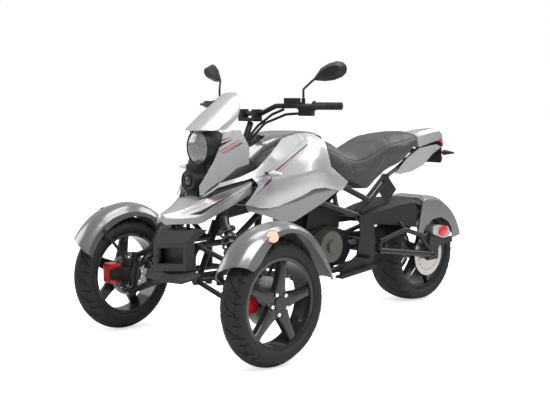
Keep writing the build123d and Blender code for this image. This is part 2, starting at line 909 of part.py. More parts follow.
# Station, then (side offset, height) from the upper edge down the left side
side_cowl_rings = [
    (-20.0, [(52, 690), (62, 676), (70, 664), (78, 650), (84, 630), (86, 610)]),
    (60.0, [(96, 742), (112, 728), (128, 712), (140, 694), (148, 670), (150, 640)]),
    (150.0, [(128, 790), (160, 768), (186, 744), (204, 716), (214, 670), (220, 610)]),
    (300.0, [(116, 868), (158, 834), (206, 782), (236, 726), (240, 664), (228, 600)]),
    (450.0, [(118, 898), (160, 858), (214, 800), (244, 738), (238, 672), (214, 604)]),
    (600.0, [(116, 910), (150, 880), (186, 812), (206, 740), (202, 680), (188, 606)]),
    (700.0, [(112, 886), (134, 850), (158, 785), (176, 724), (182, 668), (178, 610)]),
    (840.0, [(112, 846), (126, 800), (142, 744), (156, 700), (164, 660), (166, 610)]),
]
side_cowl_outline = [
    (-14, 652),
    (60, 712),
    (209, 770),
    (330, 838),
    (430, 890),
    (560, 925),
    (640, 912),
    (704, 862),
    (704, 752),
    (826, 676),
    (770, 636),
    (640, 662),
    (540, 664),
    (420, 632),
    (300, 604),
    (210, 598),
    (128, 622),
    (190, 700),
    (168, 738),
    (60, 706),
    (0, 660),
]
side_cowl = panel(side_cowl_rings, panel_wall, side_cowl_outline)
side_cowls = both_sides(side_cowl)
save("side_cowls", side_cowls)

# Front bumper: a pointed shell with a window in each front face, under a sloped brim
bumper_low = 352.0
bumper_wall = 12.0
# Side offset and station, from the right rear corner round the point to the left one
bumper_plan = [(-106, -72), (-94, -108), (0, -207), (94, -108), (106, -72)]
brim_low = 472.0
brim_high = 520.0
brim_plan = [(-126, -18), (-110, -70), (0, -184), (110, -70), (126, -18)]
window_low = 382.0
window_high = 450.0
window_margin = 13.0

window_from = Vector(*bumper_plan[2])
window_to = Vector(*bumper_plan[3])
window_run = (window_to - window_from).normalized()
window_width = (window_to - window_from).length - window_margin * 2
window_middle = (window_from + window_to) * 0.5
with BuildPart() as bumper_shell:
    with BuildSketch(Plane.XY.offset(bumper_low)):
        with BuildLine():
            Polyline(*[(x, at(s)) for x, s in bumper_plan], close=True)
        make_face()
        offset(amount=-bumper_wall, kind=Kind.INTERSECTION, mode=Mode.SUBTRACT)
    extrude(amount=brim_low - bumper_low)
    with BuildSketch(
        Plane(
            origin=spot(window_middle.X, window_middle.Y, (window_low + window_high) / 2),
            x_dir=(window_run.X, window_run.Y, 0),
            z_dir=(window_run.Y, -window_run.X, 0),
        )
    ):
        Rectangle(window_width, window_high - window_low)
    extrude(amount=bumper_wall * 2, both=True, mode=Mode.SUBTRACT)
with BuildPart() as brim_block:
    for height, plan in ((brim_low, bumper_plan), (brim_high, brim_plan)):
        with BuildSketch(Plane.XY.offset(height)):
            with BuildLine():
                Polyline(*[(x, at(s)) for x, s in plan], close=True)
            make_face()
    loft(ruled=True)
brim_hollow = brim_block.part.moved(Location((0, bumper_wall, -panel_wall)))
with BuildPart() as front_bumper:
    add(bumper_shell.part)
    mirror(about=Plane.YZ, mode=Mode.INTERSECT)
    add(cut_by(brim_block.part, brim_hollow))
save("front_bumper", front_bumper.part)

# Skid plate sections: side offset, then its (station, height) corners
skid_sections = [
    (-152.0, [(-104, 322), (-104, 330), (-78, 342), (-78, 330)]),
    (-125.0, [(-160, 306), (-158, 318), (-78, 346), (-78, 322)]),
    (0.0, [(-166, 300), (-160, 346), (-78, 351.6), (-78, 308)]),
    (125.0, [(-160, 306), (-158, 318), (-78, 346), (-78, 322)]),
    (152.0, [(-104, 322), (-104, 330), (-78, 342), (-78, 330)]),
]
with BuildPart() as skid_plate:
    for x, corners in skid_sections:
        with BuildSketch(Plane.YZ.offset(x)):
            with BuildLine():
                Polyline(*[(at(s), z) for s, z in corners], close=True)
            make_face()
    loft(ruled=True)
save("skid_plate", skid_plate.part)

# Frame
frame_radius = 14.0
frame_bend = 60.0
rail_route = [
    (79.0, -60.0, 318.0),
    (79.0, -60.0, 452.0),
    (79.0, 170.0, 452.0),
    (126.0, 330.0, 600.0),
    (150.0, 615.0, 596.0),
    (150.0, 905.0, 509.0),
    (140.0, 985.0, 440.0),
    (140.0, 985.0, 300.0),
    (134.0, 760.0, 256.0),
    (108.0, 360.0, 284.0),
    (79.0, 190.0, 318.0),
]
cross_stations = [
    (79.0, -60.0, 318.0),
    (79.0, -60.0, 452.0),
    (126.0, 330.0, 600.0),
    (150.0, 885.0, 515.0),
    (140.0, 985.0, 400.0),
    (121.0, 556.0, 275.5),
    (134.0, 760.0, 257.0),
]
nose_stay_route = [(50.0, -60.0, 452.0), (50.0, -60.0, 601.0)]
bumper_stay_route = [(79.0, -60.0, 370.0), (88.0, -102.0, 370.0)]
skid_stay_route = [(79.0, -60.0, 318.0), (79.0, -90.0, 330.0)]
cowl_post_route = [(150.0, 760.0, 554.0), (114.0, 770.0, 670.0)]
cowl_stay_route = [(88.0, 600.0, 684.0), (203.4, 600.0, 740.0)]
guard_stays = [(140.0, 985.0, 400.0), (140.0, 985.0, 310.0), (134.0, 770.0, 257.0)]
guard_inner_x = 168.0
upright_route = [(79.0, 170.0, 318.0), (79.0, 170.0, 452.0)]
damper_mount_route = [(79.0, 150.0, 452.0), (121.6, 66.0, 566.0), (126.0, 330.0, 600.0)]
seat_rail_route = [(120.0, 780.0, 672.0), (131.0, 1006.0, 574.0)]
spine_route = [(24.0, 226.0, 668.0), (60.0, 400.0, 700.0), (114.0, 770.0, 670.0)]
neck_high_route = [(22.0, 216.0, 660.0), (118.0, 300.0, 578.0)]
neck_low_route = [(22.0, 140.0, 500.0), (84.0, 190.0, 468.0)]
strut_thickness = 10.0
strut_low = spot(132.0, 932.0, 513.0)
strut_high = spot(124.0, 1142.0, 672.0)
strut_gap = 18.0
tail_rail_route = [
    (112.0, 1150.0, 672.0),
    (72.0, 1290.0, 706.0),
    (56.0, 1500.0, 808.0),
    (40.0, 1640.0, 828.0),
]
tail_cross = (87.8, 1400.0, 752.0)
tail_plate_low = 722.0
tail_plate_high = 836.0
tail_plate_half = 86.0
tail_plate_station = 1654.8
bearing_length = 60.0
bearing_shares = [0.30, 0.56]


def tubes_along(route, radius, bend):
    """A bent tube through a table of places, each (side offset, station, height)."""
    return tube([spot(*place) for place in route], radius, bend=bend)


def cross_tube(place, radius):
    """A straight tube from one side to the other."""
    x, station, height = place
    return rod(spot(-x, station, height), spot(x, station, height), radius)


def along_column(share):
    """A point on the steering axis."""
    return column_low + (column_top - column_low) * share


left_rail = joined(
    tubes_along(rail_route, frame_radius, frame_bend),
    rod(spot(*rail_route[-1]), spot(*rail_route[0]), frame_radius),
    tubes_along(spine_route, frame_radius, frame_bend),
    tubes_along(upright_route, frame_radius, 0.0),
    tubes_along(damper_mount_route, frame_radius * 0.8, 0.0),
    tubes_along(neck_high_route, frame_radius * 0.8, 0.0),
    tubes_along(neck_low_route, frame_radius * 0.8, 0.0),
    tubes_along(nose_stay_route, frame_radius * 0.6, 0.0),
    tubes_along(bumper_stay_route, frame_radius * 0.6, 0.0),
    tubes_along(skid_stay_route, frame_radius * 0.6, 0.0),
    tubes_along(cowl_stay_route, frame_radius * 0.5, 0.0),
    *[
        rod(spot(x, s, z), spot(guard_inner_x - seat_gap / 2, s, z), frame_radius * 0.6)
        for x, s, z in guard_stays
    ],
    tubes_along(cowl_post_route, frame_radius * 0.8, 0.0),
)
bearing_holders = []
for share in bearing_shares:
    middle = along_column(share)
    half = column_axis * bearing_length / 2
    bearing_holders.append(
        rod(middle - half, middle + half, bearing_radius, bore=column_radius + running_clearance)
    )
column_bore = rod(column_low, column_top, column_radius + running_clearance)
with BuildPart() as main_frame:
    add(left_rail)
    mirror(about=Plane.YZ)
    for place in cross_stations:
        add(cross_tube(place, frame_radius))
    for holder in bearing_holders:
        add(holder)
    add(column_bore, mode=Mode.SUBTRACT)
    add(nose_cowl.part, mode=Mode.SUBTRACT)
    add(front_bumper.part, mode=Mode.SUBTRACT)
    add(skid_plate.part, mode=Mode.SUBTRACT)
    add(side_cowls, mode=Mode.SUBTRACT)
save("main_frame", main_frame.part)

strut_line = (strut_high - strut_low).normalized()
strut_side = Vector(0, -strut_line.Z, strut_line.Y)
flat_struts = []
for offset_share in (-0.5, 0.5):
    shift = strut_side * (strut_gap + strut_thickness) * offset_share
    flat_struts.append(rod(strut_low + shift, strut_high + shift, strut_thickness))
lug_reach = Vector(strut_thickness, 0, 0)
lug_radius = strut_gap + panel_wall * 0.8
with BuildPart() as rear_subframe:
    for piece in (
        *flat_struts,
        rod(strut_low - lug_reach, strut_low + lug_reach, lug_radius),
        rod(strut_high - lug_reach, strut_high + lug_reach, lug_radius),
        tubes_along(seat_rail_route, frame_radius, 0.0),
        tubes_along(tail_rail_route, frame_radius * 0.7, frame_bend),
    ):
        add(piece)
    mirror(about=Plane.YZ)
    add(cross_tube(tail_rail_route[-1], frame_radius * 0.7))
    add(cross_tube(tail_cross, frame_radius * 0.5))
    with BuildSketch(
        front_plane(spot(0, tail_plate_station, (tail_plate_low + tail_plate_high) / 2))
    ):
        RectangleRounded(tail_plate_half * 2, tail_plate_high - tail_plate_low, panel_wall * 2)
    extrude(amount=panel_wall * 1.4)
    add(main_frame.part, mode=Mode.SUBTRACT)

# Engine, covers, exhaust and final drive
engine_half_width = 108.0
engine_right_width = 96.0
engine_block = [(540, 300), (600, 270), (860, 272), (905, 330), (880, 430), (760, 470), (560, 440)]
engine_cover_centre = spot(engine_half_width, 715.0, 376.0)
engine_cover_radius = 78.0
engine_cover_depth = 56.0
engine_cover_taper = 4
engine_cap_radius = 30.0
engine_cap_depth = 12.0
cylinder_radius = 58.0
fin_radius = 78.0
fin_thickness = 5.0
fin_pitch = 14.0
fin_count = 9
cylinder_low = spot(0.0, 650.0, 462.0)
cylinder_axis = Vector(0, -0.35, 0.94).normalized()
head_length = 46.0
airbox_outline = [(612, 452), (640, 575), (735, 590), (842, 560), (842, 448), (760, 470.3)]
airbox_half_width = 92.0

engine_case = side_plate(engine_block, -engine_right_width, engine_half_width)
save("engine_case", engine_case)
with BuildPart() as engine_cylinder:
    with BuildSketch(Plane(origin=cylinder_low, z_dir=cylinder_axis)):
        Circle(cylinder_radius)
    extrude(amount=fin_pitch * fin_count)
    for fin in range(1, fin_count):
        base = cylinder_low + cylinder_axis * fin_pitch * (fin + 0.5)
        with BuildSketch(Plane(origin=base, z_dir=cylinder_axis)):
            RectangleRounded(fin_radius * 2, fin_radius * 2, fin_pitch)
        extrude(amount=fin_thickness)
    with BuildSketch(
        Plane(origin=cylinder_low + cylinder_axis * fin_pitch * fin_count, z_dir=cylinder_axis)
    ):
        RectangleRounded(fin_radius * 1.8, fin_radius * 1.7, fin_pitch)
    extrude(amount=head_length)
    add(engine_case, mode=Mode.SUBTRACT)
save("engine_cylinder", engine_cylinder.part)
with BuildPart() as engine_covers:
    with BuildSketch(side_plane(engine_cover_centre + Vector(seat_gap / 2, 0, 0))):
        Circle(engine_cover_radius)
    extrude(amount=engine_cover_depth, taper=engine_cover_taper)
    with BuildSketch(
        side_plane(engine_cover_centre + Vector(engine_cover_depth, 0, 0))
    ):
        Circle(engine_cap_radius)
    extrude(amount=engine_cap_depth)
save("engine_covers", engine_covers.part)
airbox = side_plate(airbox_outline, -airbox_half_width, airbox_half_width)
with BuildPart() as airbox_part:
    add(airbox)
    add(engine_cylinder.part, mode=Mode.SUBTRACT)
    add(engine_case, mode=Mode.SUBTRACT)
    add(main_frame.part, mode=Mode.SUBTRACT)
save("airbox", airbox_part.part)

exhaust_radius = 16.0
exhaust_bend = 40.0
muffler_radius = 48.0
exhaust_route = [
    (-20.0, 560.0, 600.0),
    (-40.0, 440.0, 560.0),
    (-60.0, 430.0, 330.0),
    (-70.0, 520.0, 226.0),
    (-70.0, 700.0, 222.0),
]
muffler_from = spot(-70.0, 690.0, 222.0)
muffler_to = spot(-70.0, 950.0, 222.0)
with BuildPart() as exhaust:
    add(tubes_along(exhaust_route, exhaust_radius, exhaust_bend))
    add(rod(muffler_from, muffler_to, muffler_radius * 0.7))
    add(engine_cylinder.part, mode=Mode.SUBTRACT)
    add(engine_case, mode=Mode.SUBTRACT)
    add(main_frame.part, mode=Mode.SUBTRACT)
save("exhaust", exhaust.part)

drive_sprocket_centre = spot(-sprocket_inset, 868.0, 330.0)
drive_sprocket_radius = 34.0
chain_gap = 8.0
chain_depth = 14.0
chain_width = 14.0
chain_inner = sprocket_radius + sprocket_tooth_height + chain_gap
loop_front = (drive_sprocket_centre.Y, drive_sprocket_centre.Z)
loop_rear = (rear_centre.Y, rear_centre.Z)
front_round = drive_sprocket_radius + chain_gap + chain_depth
rear_round = chain_inner + chain_depth
lean = math.atan2(loop_rear[1] - loop_front[1], loop_rear[0] - loop_front[0])
opening = math.asin((rear_round - front_round) / math.dist(loop_front, loop_rear))
# Centre, radius and direction of each corner of the loop, from the upper front one
loop_table = [
    (loop_front, front_round, lean + math.pi / 2 + opening),
    (loop_rear, rear_round, lean + math.pi / 2 + opening),
    (loop_rear, rear_round, lean),
    (loop_rear, rear_round, lean - math.pi / 2 - opening),
    (loop_front, front_round, lean - math.pi / 2 - opening),
    (loop_front, front_round, lean + math.pi),
]
corners = [(c[0] + r * math.cos(a), c[1] + r * math.sin(a)) for c, r, a in loop_table]
with BuildPart() as chain_loop:
    with BuildSketch(Plane.YZ.offset(-sprocket_inset - chain_width / 2)):
        with BuildLine():
            Line(corners[0], corners[1])
            ThreePointArc(corners[1], corners[2], corners[3])
            Line(corners[3], corners[4])
            ThreePointArc(corners[4], corners[5], corners[0])
        make_face()
        offset(amount=-chain_depth, mode=Mode.SUBTRACT)
    extrude(amount=chain_width)
with BuildPart() as drive_sprocket:
    with BuildSketch(side_plane(drive_sprocket_centre)):
        Circle(drive_sprocket_radius + chain_gap)
    extrude(amount=sprocket_inset - engine_right_width - seat_gap / 2)
    add(chain_loop.part)
save("chain", drive_sprocket.part)

# Swingarm with its rear damper, axle and caliper
swing_pivot = (141.0, 1080.0, 318.0)
swing_low = (141.0, wheelbase, rear_tyre_radius)
swing_radius = 16.0
swing_bend = 40.0
swing_high_route = [
    (141.0, 1086.0, 362.0),
    (141.0, 1285.0, 404.0),
    (141.0, 1404.0, 366.0),
    (141.0, wheelbase - 15.0, rear_tyre_radius + 16.0),
]
axle_block_length = 84.0
axle_block_height = 52.0
rear_axle_half = 162.0
swing_cross = (141.0, 1140.0, 332.0)

fender_stay_route = [(141.0, 1440.0, 330.0), (114.0, 1452.0, 366.0)]
inner_stay_route = [(141.0, 1286.0, 402.0), (104.0, 1290.0, 438.0)]
caliper_bracket = [
    (1490, 262),
    (1546, 262),
    (1570, 292),
    (1684, 304),
    (1674, 334),
    (1602, 330),
    (1530, 354),
    (1486, 338),
]
caliper_bracket_inner = 136.0
caliper_bracket_outer = 146.0
caliper_inner = 98.0
caliper_outer = 144.0
rear_caliper_outline = [
    (1512, 366),
    (1516, 398),
    (1560, 404),
    (1644, 389),
    (1668, 354),
    (1652, 334),
    (1602, 323),
    (1530, 346),
]
hub_clearance_radius = 42.0
swing_side = joined(
    tubes_along(fender_stay_route, swing_radius * 0.4, 0.0),
    tubes_along(inner_stay_route, swing_radius * 0.4, 0.0),
    rod(spot(*swing_pivot), spot(*swing_low), swing_radius),
    rod(spot(*swing_pivot), spot(*swing_high_route[0]), swing_radius),
    tubes_along(swing_high_route, swing_radius * 0.75, swing_bend),
)
hub_reach = Vector(rear_hub_half + moving_gap, 0, 0)
with BuildPart() as swingarm:
    add(swing_side)
    mirror(about=Plane.YZ)
    add(cross_tube(swing_pivot, swing_radius))
    add(cross_tube(swing_cross, swing_radius * 0.75))
    for side in (-1, 1):
        with BuildSketch(Plane.YZ.offset(side * swing_low[0])):
            with Locations((rear_centre.Y, rear_centre.Z)):
                RectangleRounded(axle_block_length, axle_block_height, panel_wall * 2)
        extrude(amount=panel_wall * 1.4, both=True)
    with BuildSketch(Plane.YZ.offset(-rear_axle_half)):
        with Locations((rear_centre.Y, rear_centre.Z)):
            Circle(axle_radius)
    extrude(amount=rear_axle_half * 2)
    add(side_plate(caliper_bracket, caliper_bracket_inner, caliper_bracket_outer))
    add(rod(rear_centre - hub_reach, rear_centre + hub_reach, hub_clearance_radius), mode=Mode.SUBTRACT)
    with BuildSketch(Plane.YZ.offset(-rear_axle_half)):
        with Locations((rear_centre.Y, rear_centre.Z)):
            Circle(axle_radius)
    extrude(amount=rear_axle_half * 2)

with BuildPart() as rear_caliper:
    add(side_plate(rear_caliper_outline, caliper_inner, caliper_outer))
    with BuildSketch(Plane.YZ.offset(rear_disc_inset - caliper_slot / 2)):
        with Locations((rear_centre.Y, rear_centre.Z)):
            Circle(rear_disc_radius + moving_gap)
    extrude(amount=caliper_slot, mode=Mode.SUBTRACT)
save("rear_caliper", rear_caliper.part)

rear_damper_low = spot(0.0, 1140.0, 332.0)
rear_damper_high = spot(0.0, 985.0, 400.0)
rear_damper_line = rear_damper_high - rear_damper_low
rear_spring_low_share = 0.22
rear_spring_high_share = 0.78
rear_damper = joined(
    rod(rear_damper_low, rear_damper_high, damper_body_radius),
    rod(
        rear_damper_low + rear_damper_line * rear_spring_low_share,
        rear_damper_low + rear_damper_line * rear_spring_high_share,
        spring_radius,
    ),
)
rear_damper_cut = cut_by(
    rear_damper,
    swingarm.part,
    main_frame.part,
    cross_tube(swing_cross, swing_radius * 0.9),
    cross_tube(cross_stations[4], frame_radius * 1.01),
)
save("rear_damper", largest(rear_damper_cut, 1))

# Rear fender: grey crown with side skirts, and a black part ahead of it
rear_fender_radius = 305.0
rear_fender_shoulder = 286.0
rear_fender_half = 116.0
rear_skirt_drop = 172.0
rear_fender_front_degrees = 128.0
rear_fender_rear_degrees = 14.0
fender_start = math.radians(rear_fender_front_degrees)
rear_fender_plane = Plane(
    origin=rear_centre,
    x_dir=(1, 0, 0),
    z_dir=(0, -math.sin(fender_start), math.cos(fender_start)),
)
crown_share = 0.72
rear_skirt_outline = [
    (1424, 362),
    (1478, 600),
    (1600, 620),
    (1840, 500),
    (1840, 340),
    (1790, 330),
    (1722, 316),
    (1714, 372),
    (1680, 412),
    (1612, 438),
    (1549, 432),
    (1500, 406),
    (1458, 352),
]
# The right skirt ends higher, over the chain
chain_window_outline = [(1400, 330), (1400, 392), (1540, 392), (1540, 330)]
rear_profile_outer = [
    (-rear_fender_half, rear_fender_shoulder - rear_skirt_drop),
    (-rear_fender_half, rear_fender_shoulder),
    (-rear_fender_half * crown_share, rear_fender_radius),
    (rear_fender_half * crown_share, rear_fender_radius),
    (rear_fender_half, rear_fender_shoulder),
    (rear_fender_half, rear_fender_shoulder - rear_skirt_drop),
]
rear_profile_inner = [
    (x * (1 - panel_wall / rear_fender_half), r - panel_wall * (abs(x) < rear_fender_half))
    for x, r in reversed(rear_profile_outer)
]
with BuildPart() as rear_fender:
    with BuildSketch(rear_fender_plane):
        with BuildLine():
            Polyline(*rear_profile_outer, *rear_profile_inner, close=True)
        make_face()
    revolve(
        axis=Axis(rear_centre, (-1, 0, 0)),
        revolution_arc=rear_fender_front_degrees - rear_fender_rear_degrees,
    )
    with BuildSketch(Plane.YZ.offset(-rear_fender_half - overrun)):
        with BuildLine():
            Polyline(*[(at(s), z) for s, z in rear_skirt_outline], close=True)
        make_face()
    extrude(amount=(rear_fender_half + overrun) * 2, mode=Mode.INTERSECT)
    add(side_plate(chain_window_outline, -rear_fender_half - overrun, 0.0), mode=Mode.SUBTRACT)
save("rear_fender", rear_fender.part)

# Station, half width, shoulder height, crown height and lower edge height
inner_fender_rows = [
    (1040.0, 100.0, 492.0, 508.0, 440.0),
    (1140.0, 104.0, 506.0, 530.0, 440.0),
    (1290.0, 106.0, 528.0, 553.0, 420.0),
    (1420.0, 108.0, 530.0, 552.0, 400.0),
]
arch_share = 0.7


def arch_ring(station, half, shoulder, crown, low, wall):
    """One open arch outline: outside over the crown, then back along the inside."""
    flat = half * arch_share
    outer = [(-half, low), (-half, shoulder), (-flat, crown), (flat, crown)]
    outer += [(half, shoulder), (half, low)]
    inner = [
        (half - wall, low),
        (half - wall, shoulder - wall / 2),
        (flat - wall / 2, crown - wall),
        (wall / 2 - flat, crown - wall),
        (wall - half, shoulder - wall / 2),
        (wall - half, low),
    ]
    return station, outer + inner


inner_fender = loft_rings([arch_ring(*row, panel_wall) for row in inner_fender_rows])
save("inner_fender", inner_fender)

lower_cowl_rings = [
    (100.0, [(206, 640), (214, 615), (216, 590), (206, 560)]),
    (250.0, [(224, 640), (226, 600), (216, 560), (200, 520)]),
    (420.0, [(216, 668), (220, 640), (208, 580), (196, 510)]),
    (560.0, [(196, 690), (202, 660), (192, 600), (184, 540)]),
    (760.0, [(172, 690), (176, 650), (170, 610), (164, 560)]),
]
lower_cowl_outline = [
    (118, 624),
    (128, 621.7),
    (210, 597.7),
    (300, 603.7),
    (420, 631.7),
    (540, 663.7),
    (640, 661.7),
    (742, 641),
    (640, 594),
    (540, 560),
    (430, 524),
    (345, 531),
    (240, 566),
    (130, 596),
]
lower_cowl = panel(lower_cowl_rings, panel_wall, lower_cowl_outline)
save("lower_cowls", both_sides(lower_cowl))

tank_notch_radius = 80.0
tank_rings = [
    (236.0, 840.0, 70.0, 806.0, 118.0, 780.0, 122.0),
    (330.0, 884.0, 74.0, 862.0, 116.0, 840.0, 120.0),
    (470.0, 913.0, 70.0, 900.0, 114.6, 870.0, 120.0),
    (600.0, 917.0, 66.0, 908.0, 113.6, 880.0, 120.0),
    (690.0, 906.0, 60.0, 894.0, 110.6, 870.0, 114.0),
    (721.0, 884.0, 54.0, 872.0, 90.0, 830.0, 104.0),
]


def closed_ring(station, top, half_top, shoulder, half_shoulder, low, half_low):
    """A closed six-sided outline about the middle, from its heights and half widths."""
    return station, [
        (-half_low, low),
        (-half_shoulder, shoulder),
        (-half_top, top),
        (half_top, top),
        (half_shoulder, shoulder),
        (half_low, low),
    ]


tank_outer = [closed_ring(*ring) for ring in tank_rings]
tank_shell = loft_rings([(station, ribbon(points, -panel_wall)) for station, points in tank_outer])
tank_notch = rod(along_column(0.6), along_column(1.0), tank_notch_radius)
with BuildPart() as tank_cover:
    add(tank_shell)
    add(side_cowls, mode=Mode.SUBTRACT)
    add(tank_notch, mode=Mode.SUBTRACT)
save("tank_cover", tank_cover.part)

mask_rings = [
    (-14.0, [(46, 800), (54, 740), (60, 700), (68, 636)]),
    (60.0, [(70, 960), (80, 870), (92, 775), (101, 636)]),
    (130.0, [(90, 985), (112, 870), (120, 775), (122, 636)]),
    (216.0, [(106, 985), (138, 870), (142, 775), (140, 636)]),
]
mask_outline = [
    (-8, 638),
    (18, 640),
    (120, 716),
    (209, 772),
    (212, 862),
    (184, 935.7),
    (106, 935.7),
    (92, 880),
    (50, 790),
    (-6, 700),
]
with BuildPart() as lamp_mask:
    add(panel(mask_rings, panel_wall, mask_outline))
    mirror(about=Plane.YZ)
    add(nose_cowl.part, mode=Mode.SUBTRACT)
lamp_mask_sides = largest(lamp_mask.part, 2)
save("lamp_mask", lamp_mask_sides)

screen_wall = 4.0
screen_rings = [
    (936.0, -4.0, 96.0, 118.0),
    (990.0, 70.0, 104.0, 178.0),
    (1045.0, 148.0, 88.0, 204.0),
    (1080.0, 198.0, 66.0, 222.0),
    (1096.0, 226.0, 30.0, 232.0),
]
with BuildPart() as windscreen:
    for height, front, half, side in screen_rings:
        with BuildSketch(Plane.XY.offset(height)):
            with BuildLine():
                ThreePointArc((-half, at(side)), (0, at(front)), (half, at(side)))
                Line((half, at(side)), (half - screen_wall, at(side)))
                ThreePointArc(
                    (half - screen_wall, at(side)),
                    (0, at(front + screen_wall)),
                    (screen_wall - half, at(side)),
                )
                Line((screen_wall - half, at(side)), (-half, at(side)))
            make_face()
    loft(ruled=True)
save("windscreen", windscreen.part)

lamp_centre = spot(0.0, 40.0, 862.0)
lamp_rings = [(0.0, 74.0, 80.0), (30.0, 80.0, 84.0), (110.0, 66.0, 66.0)]
lens_half_width = 66.0
lens_half_height = 72.0
lens_depth = 14.0
with BuildPart() as headlamp_shell:
    for back, half_width, half_height in lamp_rings:
        with BuildSketch(front_plane(lamp_centre + Vector(0, back, 0))):
            Ellipse(half_width, half_height)
    loft()
    with BuildSketch(front_plane(lamp_centre)):
        Ellipse(lens_half_width, lens_half_height)
    extrude(amount=-lens_depth, mode=Mode.SUBTRACT)
save("headlamp_shell", headlamp_shell.part)
with BuildPart() as headlamp_lens:
    with BuildSketch(front_plane(lamp_centre)):
        Ellipse(lens_half_width - seat_gap, lens_half_height - seat_gap)
    extrude(amount=-(lens_depth - seat_gap))
save("headlamp_lens", headlamp_lens.part)

horn_centre = spot(0.0, -14.0, 720.0)
horn_radius = 46.0
horn_depth = 90.0
horn_foot_half = 34.0
horn_foot_length = 60.0
horn_neck_height = 92.0
with BuildPart() as horn_lamp:
    with BuildSketch(front_plane(horn_centre)):
        Circle(horn_radius)
    extrude(amount=-horn_depth)
    with BuildSketch(Plane.XY.offset(horn_centre.Z - horn_radius * 1.5)):
        with Locations((0, horn_centre.Y + horn_depth / 2)):
            Rectangle(horn_foot_half * 2, horn_foot_length)
    extrude(amount=horn_neck_height + horn_radius)
    add(headlamp_shell.part, mode=Mode.SUBTRACT)
    add(nose_cowl.part, mode=Mode.SUBTRACT)
save("horn_lamp", largest(horn_lamp.part, 1))

# Seat
seat_rings = [
    (722.0, 876.0, 60.0, 846.0, 98.0, 748.0, 120.0),
    (800.0, 853.0, 72.0, 818.0, 112.0, 704.0, 132.0),
    (870.0, 814.0, 84.0, 786.0, 124.0, 670.0, 138.0),
    (930.0, 797.0, 90.0, 772.0, 130.0, 646.0, 140.0),
    (990.0, 808.0, 94.0, 780.0, 132.0, 622.0, 138.0),
    (1060.0, 832.0, 96.0, 804.0, 130.0, 656.0, 134.0),
    (1156.0, 866.0, 92.0, 838.0, 124.0, 704.0, 126.0),
    (1300.0, 884.0, 80.0, 856.0, 108.0, 742.0, 110.0),
    (1400.0, 890.0, 66.0, 866.0, 92.0, 796.0, 96.0),
    (1456.0, 888.0, 52.0, 870.0, 74.0, 836.0, 80.0),
]
seat = loft_rings([closed_ring(*ring) for ring in seat_rings])
save("seat", seat)

# Tail
tail_rings = [
    (1462.0, 880.0, 46.0, 866.0, 72.0, 812.0, 84.0),
    (1560.0, 896.0, 42.0, 880.0, 62.0, 826.0, 70.0),
    (1672.0, 902.0, 30.0, 888.0, 48.0, 842.0, 54.0),
    (1730.0, 880.0, 18.0, 872.0, 30.0, 852.0, 36.0),
]
tail_crown = loft_rings([closed_ring(*ring) for ring in tail_rings])
tail_side_outline = [
    (1262, 688),
    (1360, 764),
    (1462, 808),
    (1600, 822),
    (1640, 806),
    (1560, 770),
    (1490, 720),
    (1390, 690),
    (1300, 682),
]
tail_side_inner = 88.0
tail_side_outer = 94.0
tail_panels = both_sides(side_plate(tail_side_outline, tail_side_inner, tail_side_outer))
save("tail_cowl", joined(tail_crown, tail_panels))
tail_lamp_outline = [(1650, 836), (1728, 848), (1740, 806), (1668, 800)]
tail_lamp_half = 34.0
rear_reflector_centre = spot(62.0, 1655.0, 746.0)
rear_reflector_radius = 24.0
rear_reflector_depth = 8.0
with BuildPart() as tail_lamps:
    with BuildSketch(front_plane(rear_reflector_centre)):
        Circle(rear_reflector_radius)
    extrude(amount=-rear_reflector_depth)
    mirror(about=Plane.YZ)
    add(side_plate(tail_lamp_outline, -tail_lamp_half, tail_lamp_half))
save("tail_lamps", tail_lamps.part)


signal_stalk_radius = 6.0
signal_root_size = (22.0, 15.0)
signal_end_size = (8.0, 5.0)
# Side offset, station and height of the stalk's root, the lamp's root and the lamp's end
signal_places = [
    ((204.6, 240.0, 751.4), (262.0, 226.0, 753.0), (336.0, 214.0, 753.0)),
    ((86.2, 1651.0, 778.0), (104.0, 1651.0, 778.0), (162.0, 1656.0, 778.0)),
]


def turn_signal(root, tip, lens_end):
    """A stalk and a pointed lamp on its end."""
    stalk = rod(root, tip, signal_stalk_radius)
    with BuildPart() as lamp:
        reach = (lens_end - tip).normalized()
        with BuildSketch(Plane(origin=tip, z_dir=reach)):
            Ellipse(*signal_root_size)
        with BuildSketch(Plane(origin=lens_end, z_dir=reach)):
            Ellipse(*signal_end_size)
        loft()
    return joined(stalk, lamp.part)


left_signals = [turn_signal(*[spot(*place) for place in places]) for places in signal_places]
turn_signals = cut_by(both_sides(*left_signals), side_cowls)
save("turn_signals", turn_signals)

badge_outline = [(1206, 678), (1276, 606), (1206, 536), (1136, 606)]
badge_inner = 86.0
badge_outer = 89.0
badge_plate = side_plate(badge_outline, badge_inner, badge_outer)
save("plate_bracket", cut_by(badge_plate, rear_subframe.part))

# Foot controls and guards
guard_outline = [
    (900, 505),
    (1000, 520),
    (1015, 380),
    (1010, 300),
    (985, 262),
    (760, 238),
    (780, 268),
    (880, 320),
    (905, 400),
]
guard_outer_x = guard_inner_x + panel_wall
save("pivot_guards", both_sides(side_plate(guard_outline, guard_inner_x, guard_outer_x)))
footboard_outline = [(744, 236), (985, 261.7), (985, 248), (744, 225)]
footboard_inner_x = 160.0
footboard_outer_x = 206.0
peg_radius = 13.0
peg_reach = 76.0
peg_root = spot(guard_outer_x + seat_gap / 2, 900.0, 320.0)
footrests = both_sides(
    rod(peg_root, peg_root + Vector(peg_reach, 0, 0), peg_radius),
    side_plate(footboard_outline, footboard_inner_x, footboard_outer_x),
)
save("footrests", footrests)

